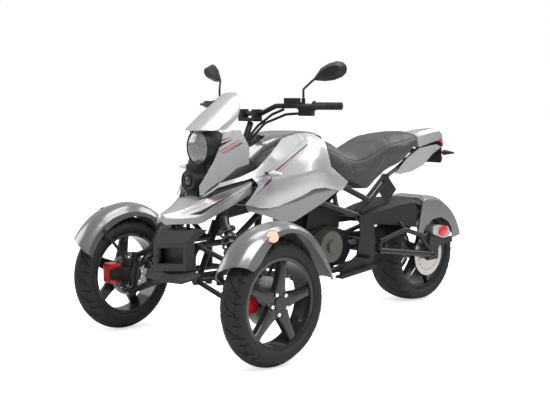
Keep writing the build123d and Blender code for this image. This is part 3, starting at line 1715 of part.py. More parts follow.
# Control cables from the left bar to the frame
cable_radius = 6.0
cable_bend = 40.0
cable_routes = [
    [(240.0, 408.0, 1004.0), (186.0, 390.0, 1000.0), (92.0, 350.0, 960.0), (30.0, 310.0, 880.0)],
    [(180.0, 382.0, 1022.0), (124.0, 366.0, 1000.0), (62.0, 338.0, 950.0), (22.0, 300.0, 884.0)],
]
control_cables = joined(*[tubes_along(route, cable_radius, cable_bend) for route in cable_routes])
save("control_cables", cut_by(control_cables, tank_cover.part))

# The swingarm and the subframe, cut to meet what they carry
swingarm_cut = cut_by(
    swingarm.part, drive_sprocket.part, inner_fender, rear_fender.part, rear_caliper.part
)
save("swingarm", largest(swingarm_cut, 1))
save(
    "rear_subframe",
    cut_by(rear_subframe.part, seat, tail_crown, tail_panels, tail_lamps.part, turn_signals),
)
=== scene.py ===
"""Looks of the motor trike: finishes, smooth body panels, tyres, rims, lamps, seat and small parts."""

from __future__ import annotations

import json
import logging
import math
from dataclasses import dataclass, field, replace
from enum import Enum
from typing import Sequence

import bmesh
import bpy
import numpy as np
from mathutils import Matrix, Vector

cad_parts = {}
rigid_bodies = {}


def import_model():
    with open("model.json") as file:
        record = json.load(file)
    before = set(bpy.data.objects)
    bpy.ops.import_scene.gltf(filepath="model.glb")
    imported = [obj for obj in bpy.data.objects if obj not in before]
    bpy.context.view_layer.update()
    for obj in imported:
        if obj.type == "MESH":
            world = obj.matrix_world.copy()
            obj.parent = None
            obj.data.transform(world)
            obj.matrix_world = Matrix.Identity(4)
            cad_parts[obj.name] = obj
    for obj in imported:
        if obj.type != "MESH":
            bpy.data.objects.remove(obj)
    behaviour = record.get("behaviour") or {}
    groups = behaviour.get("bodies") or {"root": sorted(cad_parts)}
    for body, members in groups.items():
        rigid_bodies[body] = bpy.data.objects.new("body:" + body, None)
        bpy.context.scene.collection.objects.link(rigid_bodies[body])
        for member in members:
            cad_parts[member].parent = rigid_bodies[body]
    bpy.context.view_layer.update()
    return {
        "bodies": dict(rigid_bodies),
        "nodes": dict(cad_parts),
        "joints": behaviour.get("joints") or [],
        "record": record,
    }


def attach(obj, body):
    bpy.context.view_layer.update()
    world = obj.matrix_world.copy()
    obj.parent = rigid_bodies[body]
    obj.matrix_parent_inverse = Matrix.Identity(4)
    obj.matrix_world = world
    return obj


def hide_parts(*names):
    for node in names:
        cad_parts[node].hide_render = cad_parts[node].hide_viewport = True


LOG = logging.getLogger("trike")
MM = 0.001
AXLE_STATION = -768.0
WHEEL_X = 500.0
FRONT_RADIUS = 262.0
FRONT_RIM_WIDTH = 98.0
REAR_STATION = 1515.0
REAR_RADIUS = 252.0
REAR_RIM_WIDTH = 150.0
SMOOTH_ANGLE = math.radians(34.0)
PANEL_ANGLE = 55.0
CROWN_RISE = 1.5

Point = tuple[float, float]
Ring = tuple[float, list[Point]]


def place(x: float, station: float, height: float) -> Vector:
    """Returns a point of the row frame in metres.

    Args:
        x: distance to the rider's left, in millimetres.
        station: distance behind the front axle, in millimetres.
        height: height over the ground, in millimetres.

    Returns:
        The point in the row frame.
    """
    return Vector((x, AXLE_STATION + station, height)) * MM


def rows_to_frame(points: np.ndarray) -> np.ndarray:
    """Returns (x, station, height) rows in millimetres as row-frame points in metres."""
    moved = np.array(points, dtype=float)
    moved[..., 1] += AXLE_STATION
    return moved * MM


class Slot(Enum):
    """The record's material slots."""

    TYRE = "tyre_rubber"
    RIM = "rim_black"
    DISC_DARK = "disc_dark"
    DISC_BRIGHT = "disc_bright"
    CALIPER = "caliper_red"
    FRAME = "frame_black"
    DAMPER = "damper_black"
    SPRING = "spring_black"
    ENGINE_BLACK = "engine_black"
    ENGINE_GREY = "engine_grey"
    CHAIN = "chain_steel"
    SILVER = "panel_silver"
    GREY = "panel_grey"
    TANK = "tank_dark"
    PLASTIC = "plastic_black"
    GRIP = "grip_rubber"
    MIRROR = "mirror_glass"
    CLEAR = "lens_clear"
    RED = "lens_red"
    SEAT = "seat_vinyl"


class Relief(Enum):
    """The kinds of small relief that a finish can carry."""

    FLAKE = "flake"
    GRAIN = "grain"
    CAST = "cast"
    BRUSHED = "brushed"


def add_node(tree: bpy.types.NodeTree, kind: str, values=(), **settings) -> bpy.types.Node:
    """Returns a new node with its settings, numbers and links.

    Args:
        tree: the tree that gets the node.
        kind: the node's type.
        values: numbers or sockets for its inputs, in order or by name.
        settings: the node's own properties.

    Returns:
        The node.
    """
    node = tree.nodes.new(kind)
    for name, value in settings.items():
        setattr(node, name, value)
    for key, value in values.items() if isinstance(values, dict) else enumerate(values):
        if isinstance(value, bpy.types.NodeSocket):
            tree.links.new(value, node.inputs[key])
        else:
            node.inputs[key].default_value = value
    return node


def maths(tree: bpy.types.NodeTree, operation: str, *values, clamp: bool = False) -> bpy.types.NodeSocket:
    """Returns the result of a maths node on numbers or sockets."""
    return add_node(tree, "ShaderNodeMath", values, operation=operation, use_clamp=clamp).outputs[0]


class ShaderGroups:
    """Builds the node groups that more than one finish uses, once each."""

    middle = 0.5
    lowest_slope = 0.1

    def __init__(self) -> None:
        """Makes the groups."""
        self.variation = self._variation()
        self.relief = self._relief()
        self.brushed = self._brushed()
        self.stripe = self._stripe()
        self.dust = self._dust()

    @staticmethod
    def _tree(name: str, inputs: Sequence[tuple[str, str, object]], outputs: Sequence[tuple[str, str]]):
        """Returns a new shader group with named sockets.

        Args:
            name: the group's name.
            inputs: (name, socket type, default value) of each input.
            outputs: (name, socket type) of each output.

        Returns:
            The tree, the sockets of its input node by name and its output node.
        """
        tree = bpy.data.node_groups.new(name, "ShaderNodeTree")
        for label, kind, value in inputs:
            socket = tree.interface.new_socket(label, in_out="INPUT", socket_type=f"NodeSocket{kind}")
            socket.default_value = value
        for label, kind in outputs:
            tree.interface.new_socket(label, in_out="OUTPUT", socket_type=f"NodeSocket{kind}")
        given = tree.nodes.new("NodeGroupInput").outputs
        return tree, given, tree.nodes.new("NodeGroupOutput")

    @staticmethod
    def _place(tree: bpy.types.NodeTree) -> bpy.types.NodeSocket:
        """Returns the Object coordinates."""
        return add_node(tree, "ShaderNodeTexCoord").outputs["Object"]

    def _noise(self, tree: bpy.types.NodeTree, scale: bpy.types.NodeSocket, detail: float) -> bpy.types.NodeSocket:
        """Returns noise on Object coordinates with its scale linked."""
        values = {"Vector": self._place(tree), "Scale": scale, "Detail": detail}
        return add_node(tree, "ShaderNodeTexNoise", values).outputs["Fac"]

    def _variation(self) -> bpy.types.NodeTree:
        """Returns a group that varies a colour and a roughness over the surface."""
        tree, given, result = self._tree(
            "tone_variation",
            [
                ("Colour", "Color", (0.5, 0.5, 0.5, 1)),
                ("Spread", "Float", 0.06),
                ("Roughness", "Float", 0.4),
                ("Roughness Spread", "Float", 0.1),
                ("Scale", "Float", 9.0),
            ],
            [("Colour", "Color"), ("Roughness", "Float")],
        )
        centred = maths(tree, "SUBTRACT", self._noise(tree, given["Scale"], 4.0), self.middle)
        tone = maths(tree, "MULTIPLY_ADD", centred, given["Spread"], 1.0)
        rough = maths(tree, "MULTIPLY_ADD", centred, given["Roughness Spread"], given["Roughness"])
        scaled = add_node(tree, "ShaderNodeVectorMath", {0: given["Colour"], "Scale": tone}, operation="SCALE")
        tree.links.new(scaled.outputs["Vector"], result.inputs["Colour"])
        tree.links.new(rough, result.inputs["Roughness"])
        return tree

    def _relief(self) -> bpy.types.NodeTree:
        """Returns a group that puts out the height of a fine grain."""
        tree, given, result = self._tree(
            "fine_relief", [("Scale", "Float", 900.0), ("Cells", "Float", 0.5)], [("Height", "Float")]
        )
        values = {"Vector": self._place(tree), "Scale": given["Scale"]}
        cells = add_node(tree, "ShaderNodeTexVoronoi", values).outputs["Distance"]
        noise = self._noise(tree, given["Scale"], 3.0)
        blend = add_node(tree, "ShaderNodeMix", {0: given["Cells"], 2: noise, 3: cells})
        tree.links.new(blend.outputs[0], result.inputs["Height"])
        return tree

    def _brushed(self) -> bpy.types.NodeTree:
        """Returns a group that puts out long fine scratches."""
        tree, given, result = self._tree(
            "brushed_lines",
            [("Scale", "Float", 300.0), ("Stretch", "Vector", (1.0, 0.03, 1.0))],
            [("Height", "Float")],
        )
        stretched = add_node(
            tree, "ShaderNodeVectorMath", (self._place(tree), given["Stretch"]), operation="MULTIPLY"
        )
        values = {"Vector": stretched.outputs["Vector"], "Scale": given["Scale"]}
        noise = add_node(tree, "ShaderNodeTexNoise", values)
        tree.links.new(noise.outputs["Fac"], result.inputs["Height"])
        return tree

    def _dust(self) -> bpy.types.NodeTree:
        """Returns a group that marks where dust settles on faces that look up."""
        tree, given, result = self._tree(
            "settled_dust", [("Amount", "Float", 0.1), ("Scale", "Float", 30.0)], [("Mask", "Float")]
        )
        normal = add_node(tree, "ShaderNodeNewGeometry").outputs["Normal"]
        split = add_node(tree, "ShaderNodeSeparateXYZ", (normal,))
        up = add_node(
            tree, "ShaderNodeMapRange", {"Value": split.outputs["Z"], "From Min": self.lowest_slope}
        )
        patch = maths(tree, "MULTIPLY", up.outputs[0], self._noise(tree, given["Scale"], 5.0))
        mask = maths(tree, "MULTIPLY", patch, given["Amount"], clamp=True)
        tree.links.new(mask, result.inputs["Mask"])
        return tree

    def _stripe(self) -> bpy.types.NodeTree:
        """Returns a group that masks one tapering stripe, the same on both sides."""
        tree, given, result = self._tree(
            "tapered_stripe",
            [
                ("Start", "Vector", (0, 0, 0)),
                ("Along", "Vector", (0, 1, 0)),
                ("Across", "Vector", (0, 0, 1)),
                ("Length", "Float", 0.1),
                ("Half Start", "Float", 0.004),
                ("Half End", "Float", 0.001),
            ],
            [("Mask", "Float")],
        )
        split = add_node(tree, "ShaderNodeSeparateXYZ", (self._place(tree),)).outputs
        even = add_node(
            tree, "ShaderNodeCombineXYZ", (maths(tree, "ABSOLUTE", split["X"]), split["Y"], split["Z"])
        )
        away = add_node(
            tree, "ShaderNodeVectorMath", (even.outputs[0], given["Start"]), operation="SUBTRACT"
        ).outputs["Vector"]
        along, across = (
            add_node(tree, "ShaderNodeVectorMath", (away, given[label]), operation="DOT_PRODUCT").outputs["Value"]
            for label in ("Along", "Across")
        )
        share = maths(tree, "DIVIDE", along, given["Length"])
        half = add_node(tree, "ShaderNodeMix", {0: share, 2: given["Half Start"], 3: given["Half End"]})
        inside = maths(tree, "LESS_THAN", maths(tree, "ABSOLUTE", across), half.outputs[0])
        reach = maths(tree, "ABSOLUTE", maths(tree, "SUBTRACT", share, self.middle))
        ends = maths(tree, "LESS_THAN", reach, self.middle)
        tree.links.new(maths(tree, "MULTIPLY", inside, ends), result.inputs["Mask"])
        return tree


@dataclass(frozen=True)
class Stripe:
    """A stripe on both sides of the body, from one (x, station, height) to another, in millimetres; some stripes are
    the real paint and some are painted shadow lines.
    """

    colour: tuple[float, float, float]
    start: tuple[float, float, float]
    end: tuple[float, float, float]
    half_start: float
    half_end: float


@dataclass(frozen=True)
class Finish:
    """A finish with its colour, gloss, small relief and wear, its stripes (some of them painted shadow lines) and an
    optional painted glow.
    """

    name: str
    slot: Slot
    colour: tuple[float, float, float]
    roughness: float = 0.4
    metallic: float = 0.0
    coat: float = 0.0
    spread: float = 0.1
    rough_spread: float = 0.12
    relief: Relief = Relief.GRAIN
    relief_scale: float = 900.0
    relief_depth: float = 0.00008
    dust: float = 0.06
    transmission: float = 0.0
    emission: float = 0.0
    stripes: tuple[Stripe, ...] = ()
    specular: float = 0.5


RED_PAINT = (0.55, 0.01, 0.018)
# Black of the real paint stripes and of the painted shadow lines.
BLACK_PAINT_AND_SHADE = (0.012, 0.012, 0.013)
SILVER_TONE = (0.47, 0.475, 0.485)
GREY_TONE = (0.17, 0.17, 0.175)
DUST_TONE = (0.42, 0.41, 0.39)
PAINT_FACING = Vector((0.712, -0.695, 0.103))
COAT_ROUGHNESS = 0.06
BUMP_STRENGTH = 0.6
CELL_SHARE = {Relief.FLAKE: 0.1, Relief.GRAIN: 0.7, Relief.CAST: 0.35}
DULL = 0.25


class Finishes:
    """Makes and keeps the materials of all finishes."""

    def __init__(self, groups: ShaderGroups) -> None:
        """Keeps the groups and starts an empty store."""
        self.groups = groups
        self.made: dict[str, bpy.types.Material] = {}

    def get(self, finish: Finish) -> bpy.types.Material:
        """Returns the material of a finish, made on its first use."""
        if finish.name not in self.made:
            self.made[finish.name] = self._build(finish)
        return self.made[finish.name]

    def _build(self, finish: Finish) -> bpy.types.Material:
        """Returns a new material for a finish.

        Args:
            finish: the finish to build.

        Returns:
            A node-based material that reads Object coordinates.
        """
        material = bpy.data.materials.new(finish.name)
        material.use_nodes = True
        tree = material.node_tree
        shader = tree.nodes["Principled BSDF"]
        varied = self._group(
            tree,
            self.groups.variation,
            {
                "Colour": (*finish.colour, 1),
                "Spread": finish.spread,
                "Roughness": finish.roughness,
                "Roughness Spread": finish.rough_spread,
            },
        )
        colour = varied["Colour"]
        for stripe in finish.stripes:
            colour = self._with_stripe(tree, colour, stripe)
        if finish.dust > 0.0:
            mask = self._group(tree, self.groups.dust, {"Amount": finish.dust})["Mask"]
            colour = self._over(tree, mask, colour, DUST_TONE)
        if finish.relief is Relief.BRUSHED:
            height = self._group(tree, self.groups.brushed, {"Scale": finish.relief_scale})
        else:
            cells = CELL_SHARE[finish.relief]
            height = self._group(tree, self.groups.relief, {"Scale": finish.relief_scale, "Cells": cells})
        values = {"Distance": finish.relief_depth, "Strength": BUMP_STRENGTH, "Height": height["Height"]}
        bump = add_node(tree, "ShaderNodeBump", values)
        for label, socket in (
            ("Base Color", colour), ("Roughness", varied["Roughness"]), ("Normal", bump.outputs["Normal"])
        ):
            tree.links.new(socket, shader.inputs[label])
        for label, value in (
            ("Metallic", finish.metallic), ("Specular IOR Level", finish.specular), ("Coat Weight", finish.coat),
            ("Coat Roughness", COAT_ROUGHNESS), ("Transmission Weight", finish.transmission),
        ):
            shader.inputs[label].default_value = value
        # Painted glow where a finish has emission: the surface shines without a lamp.
        if finish.emission > 0.0:
            shader.inputs["Emission Color"].default_value = (*finish.colour, 1)
            shader.inputs["Emission Strength"].default_value = finish.emission
        return material

    @staticmethod
    def _group(tree: bpy.types.NodeTree, group: bpy.types.NodeTree, values: dict):
        """Returns the outputs of a group placed in a material with its own values."""
        return add_node(tree, "ShaderNodeGroup", values, node_tree=group).outputs

    @staticmethod
    def _over(tree: bpy.types.NodeTree, mask, colour, tone: tuple[float, float, float]):
        """Returns a colour with a tone laid over it where the mask is."""
        return add_node(tree, "ShaderNodeMix", {0: mask, 6: colour, 7: (*tone, 1)}, data_type="RGBA").outputs[2]

    def _with_stripe(self, tree: bpy.types.NodeTree, colour, stripe: Stripe):
        """Returns a colour output with one stripe laid over the given one."""
        start = place(*stripe.start)
        line = place(*stripe.end) - start
        along = line.normalized()
        mask = self._group(
            tree,
            self.groups.stripe,
            {
                "Start": start,
                "Along": along,
                "Across": along.cross(PAINT_FACING).normalized(),
                "Length": line.length,
                "Half Start": stripe.half_start * MM,
                "Half End": stripe.half_end * MM,
            },
        )
        return self._over(tree, mask["Mask"], colour, stripe.colour)


SILVER = Finish(
    "silver_paint", Slot.SILVER, SILVER_TONE, roughness=0.3, metallic=0.55, coat=0.8, spread=0.05,
    rough_spread=0.06, relief=Relief.FLAKE, relief_scale=1400.0, relief_depth=0.00002, dust=0.0,
)
GREY = replace(SILVER, name="grey_metallic", slot=Slot.GREY, colour=GREY_TONE, coat=0.9, spread=0.1)
TANK = replace(
    SILVER, name="tank_grey", slot=Slot.TANK, colour=(0.14, 0.14, 0.145), roughness=0.24, metallic=0.6,
    coat=1.0, spread=0.08, rough_spread=0.05,
)
TYRE = Finish(
    "tyre_rubber", Slot.TYRE, (0.018, 0.018, 0.0185), roughness=0.62, spread=0.35, rough_spread=0.2,
    relief_scale=1500.0, relief_depth=0.0002, dust=0.05, specular=DULL,
)
RIM = Finish(
    "rim_black", Slot.RIM, (0.016, 0.0155, 0.016), roughness=0.27, coat=0.5, spread=0.3, rough_spread=0.1,
    relief=Relief.FLAKE, relief_scale=1100.0, relief_depth=0.00003, dust=0.03, specular=DULL,
)
FRAME = Finish(
    "frame_black", Slot.FRAME, (0.012, 0.012, 0.0112), roughness=0.34, coat=0.12, spread=0.3,
    rough_spread=0.16, relief=Relief.CAST, relief_scale=700.0, specular=DULL,
)
PLASTIC = Finish(
    "black_plastic", Slot.PLASTIC, (0.015, 0.015, 0.0155), roughness=0.46, spread=0.2, rough_spread=0.1,
    relief_scale=1300.0, relief_depth=0.0001, specular=DULL,
)
BUMPER = replace(
    PLASTIC, name="bumper_plastic", colour=(0.04, 0.04, 0.0415), roughness=0.48, coat=0.1, relief_scale=1100.0,
    relief_depth=0.00014,
)
ENGINE = replace(
    FRAME, name="engine_black", slot=Slot.ENGINE_BLACK, colour=(0.022, 0.022, 0.0205), roughness=0.45,
    metallic=0.45, coat=0.0, spread=0.35, relief_scale=420.0, relief_depth=0.0003,
)
COVER = Finish(
    "engine_grey", Slot.ENGINE_GREY, (0.1, 0.1, 0.092), roughness=0.42, metallic=0.6, spread=0.22,
    rough_spread=0.14, relief=Relief.CAST, relief_scale=500.0, relief_depth=0.0002,
)
DAMPER = replace(
    FRAME, name="damper_black", slot=Slot.DAMPER, colour=(0.03, 0.03, 0.032), roughness=0.3, metallic=0.3,
    coat=0.4, spread=0.2, rough_spread=0.1, relief_depth=0.00005,
)
SPRING = Finish(
    "spring_black", Slot.SPRING, (0.035, 0.035, 0.037), roughness=0.2, metallic=0.3, coat=1.0, spread=0.2,
    rough_spread=0.1, relief=Relief.FLAKE, relief_depth=0.00003,
)
CALIPER = replace(
    COVER, name="caliper_red", slot=Slot.CALIPER, colour=(0.62, 0.008, 0.014), roughness=0.3, metallic=0.1,
    coat=0.8, spread=0.15, rough_spread=0.08, relief_depth=0.0001,
)
DISC_DARK = Finish(
    "disc_dark", Slot.DISC_DARK, (0.3, 0.3, 0.31), roughness=0.34, metallic=0.95, spread=0.2,
    relief=Relief.BRUSHED, relief_scale=500.0, relief_depth=0.00005,
)
DISC = replace(
    DISC_DARK, name="disc_bright", slot=Slot.DISC_BRIGHT, colour=(0.5, 0.48, 0.465), roughness=0.3,
    spread=0.12,
)
CHAIN = Finish(
    "chain_steel", Slot.CHAIN, (0.2, 0.19, 0.18), roughness=0.38, metallic=0.9, spread=0.4, rough_spread=0.2,
    relief=Relief.CAST, relief_depth=0.0001,
)
GRIP = Finish(
    "grip_rubber", Slot.GRIP, (0.02, 0.02, 0.02), roughness=0.6, spread=0.2, relief_scale=1500.0,
    relief_depth=0.00012, specular=DULL,
)
GLASS_FACE = Finish(
    "mirror_glass", Slot.MIRROR, (0.85, 0.86, 0.88), roughness=0.03, metallic=1.0, spread=0.01,
    rough_spread=0.01, relief=Relief.FLAKE, relief_scale=200.0, relief_depth=0.0, dust=0.0,
)
CLEAR = Finish(
    "clear_lens", Slot.CLEAR, (0.9, 0.91, 0.92), roughness=0.06, coat=0.6, spread=0.02, rough_spread=0.02,
    relief=Relief.FLAKE, relief_scale=200.0, relief_depth=0.00001, dust=0.0, transmission=0.85,
)
# Painted glow: the emission makes the headlamp bowl shine by itself, standing in for the bright reflections in its
# chrome.
GLOWING_BOWL = replace(
    TANK, name="lamp_bowl", slot=Slot.DISC_BRIGHT, colour=(0.86, 0.87, 0.89), roughness=0.16, metallic=1.0,
    coat=0.0, spread=0.03, relief_scale=300.0, relief_depth=0.00001, emission=0.3,
)
WHITE_LENS = Finish(
    "white_lens", Slot.CLEAR, (0.78, 0.79, 0.8), roughness=0.12, coat=1.0, spread=0.04, rough_spread=0.03,
    relief_scale=380.0, relief_depth=0.0003, dust=0.0, transmission=0.25,
)
LENS_RED = Finish(
    "red_lens", Slot.RED, (0.66, 0.02, 0.035), roughness=0.16, coat=1.0, rough_spread=0.05, relief_scale=420.0,
    relief_depth=0.0004, dust=0.0,
)
ORANGE = replace(
    LENS_RED, name="orange_reflector", colour=(0.8, 0.13, 0.035), roughness=0.2, spread=0.15,
    relief_depth=0.0006,
)
CHROME = replace(GLOWING_BOWL, name="bright_chrome", colour=(0.88, 0.88, 0.89), roughness=0.08, emission=0.0)
STEEL = Finish(
    "zinc_steel", Slot.DISC_BRIGHT, (0.55, 0.54, 0.51), roughness=0.36, metallic=0.95, spread=0.2,
    rough_spread=0.15, relief=Relief.CAST, relief_scale=600.0,
)
VINYL = Finish(
    "seat_vinyl", Slot.SEAT, (0.045, 0.045, 0.046), roughness=0.52, coat=0.08, spread=0.18,
    relief_scale=1000.0, relief_depth=0.00022, specular=DULL,
)

SIDE_SILVER = replace(
    SILVER, name="silver_side", metallic=0.6,
    stripes=(
        # Painted shadow line: this black stripe lies in the narrow gap between the raised upper and lower side
        # panels, where shade falls.
        Stripe(BLACK_PAINT_AND_SHADE, (215.0, 534.0, 888.0), (240.0, 262.0, 755.0), 2.6, 3.2),
        Stripe(RED_PAINT, (232.0, 445.0, 842.0), (243.0, 282.0, 752.0), 0.6, 1.9),
        Stripe(RED_PAINT, (238.0, 256.0, 736.0), (230.0, 214.0, 700.0), 2.6, 1.6),
        Stripe(BLACK_PAINT_AND_SHADE, (236.0, 252.0, 724.0), (222.0, 172.0, 660.0), 2.8, 0.8),
    ),
)
MASK_SILVER = replace(
    SILVER, name="silver_mask", metallic=0.6,
    stripes=(
        Stripe(RED_PAINT, (122.0, 67.0, 854.0), (140.0, 165.0, 900.0), 1.8, 1.8),
        Stripe(RED_PAINT, (122.0, 79.0, 846.0), (140.0, 174.0, 891.0), 1.8, 1.8),
        # Painted shadow: this black band runs along the lower edge of the second red stripe.
        Stripe(BLACK_PAINT_AND_SHADE, (124.0, 92.0, 844.0), (141.0, 178.0, 885.0), 0.8, 2.6),
        Stripe(RED_PAINT, (126.0, 74.0, 899.0), (134.0, 136.0, 914.0), 4.2, 0.6),
        Stripe(BLACK_PAINT_AND_SHADE, (124.0, 74.0, 882.0), (134.0, 136.0, 904.0), 6.5, 0.5),
    ),
)
NOSE_SILVER = replace(
    SILVER, name="silver_nose", metallic=0.6,
    stripes=(
        Stripe(BLACK_PAINT_AND_SHADE, (118.0, -52.0, 594.0), (172.0, 84.0, 668.0), 8.0, 0.4),
        Stripe(BLACK_PAINT_AND_SHADE, (94.0, -84.0, 588.0), (118.0, -50.0, 595.0), 1.0, 8.0),
        Stripe(BLACK_PAINT_AND_SHADE, (120.0, -38.0, 591.0), (190.0, 193.0, 700.0), 1.2, 0.8),
        Stripe(RED_PAINT, (78.0, -112.0, 594.0), (174.0, 86.0, 673.0), 0.8, 1.6),
    ),
)
# Dark grey of the round lamp's rings, the mask's lower strip and the painted shade strip under the side panels.
DARK_GREY = replace(
    GREY, name="dark_grey_paint", colour=(0.06, 0.06, 0.062), roughness=0.34, metallic=0.4, coat=0.5,
    rough_spread=0.08,
)
# Painted shade: a black sheet that stands in for the shade in the gap under the raised upper side panel.
SHADE_RECESS = Finish(
    "painted_shade_recess", Slot.PLASTIC, (0.012, 0.012, 0.012), roughness=0.55, spread=0.2, rough_spread=0.1,
    relief_scale=1300.0,
)

FINISHED_NODES = (
    (TYRE, "tyre_front_left tyre_front_right tyre_rear"),
    (RIM, "rim_front_left rim_front_right rim_rear"),
    (DISC_DARK, "disc_front_left disc_front_right"),
    (DISC, "disc_rear"),
    (STEEL, "sprocket_rear rear_caliper"),
    (CHAIN, "chain"),
    (CALIPER, "caliper_left caliper_right"),
    (
        FRAME,
        "knuckle_left knuckle_right track_rod_left track_rod_right upper_arms lower_arms main_frame "
        "rear_subframe swingarm steering_column handlebar",
    ),
    (DAMPER, "front_dampers rear_damper"),
    (SPRING, "front_springs"),
    (ENGINE, "engine_case engine_cylinder airbox exhaust"),
    (COVER, "engine_covers"),
    (GREY, "fender_front_left fender_front_right rear_fender lower_cowls"),
    (
        PLASTIC,
        "inner_fender headlamp_shell horn_lamp footrests pivot_guards plate_bracket hand_controls mirrors "
        "turn_signals",
    ),
    (NOSE_SILVER, "nose_cowl"),
    (MASK_SILVER, "lamp_mask"),
    (SILVER, "windscreen tail_cowl"),
    (SIDE_SILVER, "side_cowls"),
    (TANK, "tank_cover"),
    (BUMPER, "front_bumper skid_plate"),
    (GRIP, "grips control_cables"),
    (GLASS_FACE, "mirror_glasses"),
    (CLEAR, "headlamp_lens"),
    (LENS_RED, "tail_lamps"),
    (VINYL, "seat"),
)


class Workshop:
    """Makes meshes and puts finished pieces on their bodies."""

    weld_distance = 0.00001
    trim_reach = (-0.5, 700.0)
    carve_steps = 72
    bevel_steps = 2

    def __init__(self, finishes: Finishes) -> None:
        """Keeps the store of finishes."""
        self.finishes = finishes

    def mesh_object(self, name: str, points: np.ndarray, faces: Sequence[Sequence[int]]) -> bpy.types.Object:
        """Returns a linked object with its place in its mesh.

        Args:
            name: the piece's name.
            points: row-frame points in metres, one row each.
            faces: point numbers of each face.

        Returns:
            The object, with its normals pointing outwards.
        """
        mesh = bpy.data.meshes.new(name)
        mesh.from_pydata(np.asarray(points, dtype=float).tolist(), [], [list(face) for face in faces])
        mesh.validate()
        bm = bmesh.new()
        bm.from_mesh(mesh)
        bmesh.ops.remove_doubles(bm, verts=bm.verts, dist=self.weld_distance)
        bmesh.ops.recalc_face_normals(bm, faces=bm.faces)
        bm.to_mesh(mesh)
        bm.free()
        piece = bpy.data.objects.new(name, mesh)
        bpy.context.scene.collection.objects.link(piece)
        return piece

    def settle(self, piece: bpy.types.Object) -> bpy.types.Object:
        """Returns the piece with its modifiers applied to its mesh."""
        bpy.context.view_layer.update()
        graph = bpy.context.evaluated_depsgraph_get()
        mesh = bpy.data.meshes.new_from_object(piece.evaluated_get(graph))
        piece.modifiers.clear()
        piece.data = mesh
        return piece

    def thicken(self, piece: bpy.types.Object, wall: float, offset: float = -1.0) -> bpy.types.Object:
        """Returns the sheet turned into a wall of the given thickness in millimetres."""
        shell = piece.modifiers.new("wall", "SOLIDIFY")
        shell.thickness = wall * MM
        shell.offset = offset
        shell.use_even_offset = True
        return self.settle(piece)

    def trim(self, piece: bpy.types.Object, outline: Sequence[Point]) -> bpy.types.Object:
        """Returns the piece cut to an outline of its side view.

        Args:
            piece: a closed mesh.
            outline: (station, height) corners in millimetres.

        Returns:
            The same object with the cut mesh.
        """
        count = len(outline)
        rows = [(x, s, z) for x in self.trim_reach for s, z in outline]
        faces = [list(range(count)), list(range(count, 2 * count))]
        faces += [(i, (i + 1) % count, count + (i + 1) % count, count + i) for i in range(count)]
        cutter = self.mesh_object("cutter", rows_to_frame(np.array(rows)), faces)
        return self.combine(piece, cutter, "INTERSECT")

    def combine(self, piece: bpy.types.Object, cutter: bpy.types.Object, operation: str) -> bpy.types.Object:
        """Returns the piece combined with a cutter, which is used up."""
        cut = piece.modifiers.new("cut", "BOOLEAN")
        cut.operation = operation
        cut.solver = "EXACT"
        cut.object = cutter
        self.settle(piece)
        bpy.data.objects.remove(cutter)
        return piece

    def both_sides(self, piece: bpy.types.Object) -> bpy.types.Object:
        """Returns the piece joined with its own mirror image."""
        bm = bmesh.new()
        bm.from_mesh(piece.data)
        copy = bmesh.ops.duplicate(bm, geom=bm.verts[:] + bm.edges[:] + bm.faces[:])["geom"]
        for vertex in (item for item in copy if isinstance(item, bmesh.types.BMVert)):
            vertex.co.x = -vertex.co.x
        bmesh.ops.reverse_faces(bm, faces=[item for item in copy if isinstance(item, bmesh.types.BMFace)])
        bm.to_mesh(piece.data)
        bm.free()
        return piece

    def face_towards(self, piece: bpy.types.Object, way: tuple[float, float, float]) -> bpy.types.Object:
        """Turns the faces of an open sheet so that most of them look along a direction."""
        total = sum((face.normal * face.area for face in piece.data.polygons), Vector())
        if total.dot(Vector(way)) < 0.0:
            piece.data.flip_normals()
        return piece

    def push(self, piece: bpy.types.Object, distances: np.ndarray | float) -> bpy.types.Object:
        """Moves each point of a piece along its normal, by distances in millimetres."""
        count = len(piece.data.vertices)
        places, normals = np.empty(count * 3), np.empty(count * 3)
        piece.data.vertices.foreach_get("co", places)
        piece.data.vertex_normals.foreach_get("vector", normals)
        step = np.broadcast_to(np.asarray(distances, dtype=float), (count,))[:, None] * MM
        piece.data.vertices.foreach_set("co", (places.reshape(-1, 3) + normals.reshape(-1, 3) * step).ravel())
        piece.data.update()
        return piece

    def carve(self, piece: bpy.types.Object, start: Vector, end: Vector, radius: float) -> bpy.types.Object:
        """Returns the piece with a round hole between two row-frame points, radius in millimetres."""
        axis = (end - start).normalized()
        side = axis.orthogonal().normalized()
        up = axis.cross(side)
        steps = self.carve_steps
        angles = [k / steps * math.tau for k in range(steps)]
        rows = [
            tuple(spot + (side * math.cos(angle) + up * math.sin(angle)) * radius * MM)
            for spot in (start, end)
            for angle in angles
        ]
        faces = grid_faces(2, steps, False, True) + [tuple(range(steps)), tuple(range(steps, 2 * steps))]
        return self.combine(piece, self.mesh_object("cutter", np.array(rows), faces), "DIFFERENCE")

    def soften(self, piece: bpy.types.Object, width: float, angle: float = 40.0) -> bpy.types.Object:
        """Returns the piece with its hard edges rounded by a width in millimetres."""
        bevel = piece.modifiers.new("edges", "BEVEL")
        bevel.width = width * MM
        bevel.segments = self.bevel_steps
        bevel.limit_method = "ANGLE"
        bevel.angle_limit = math.radians(angle)
        bevel.use_clamp_overlap = True
        return self.settle(piece)

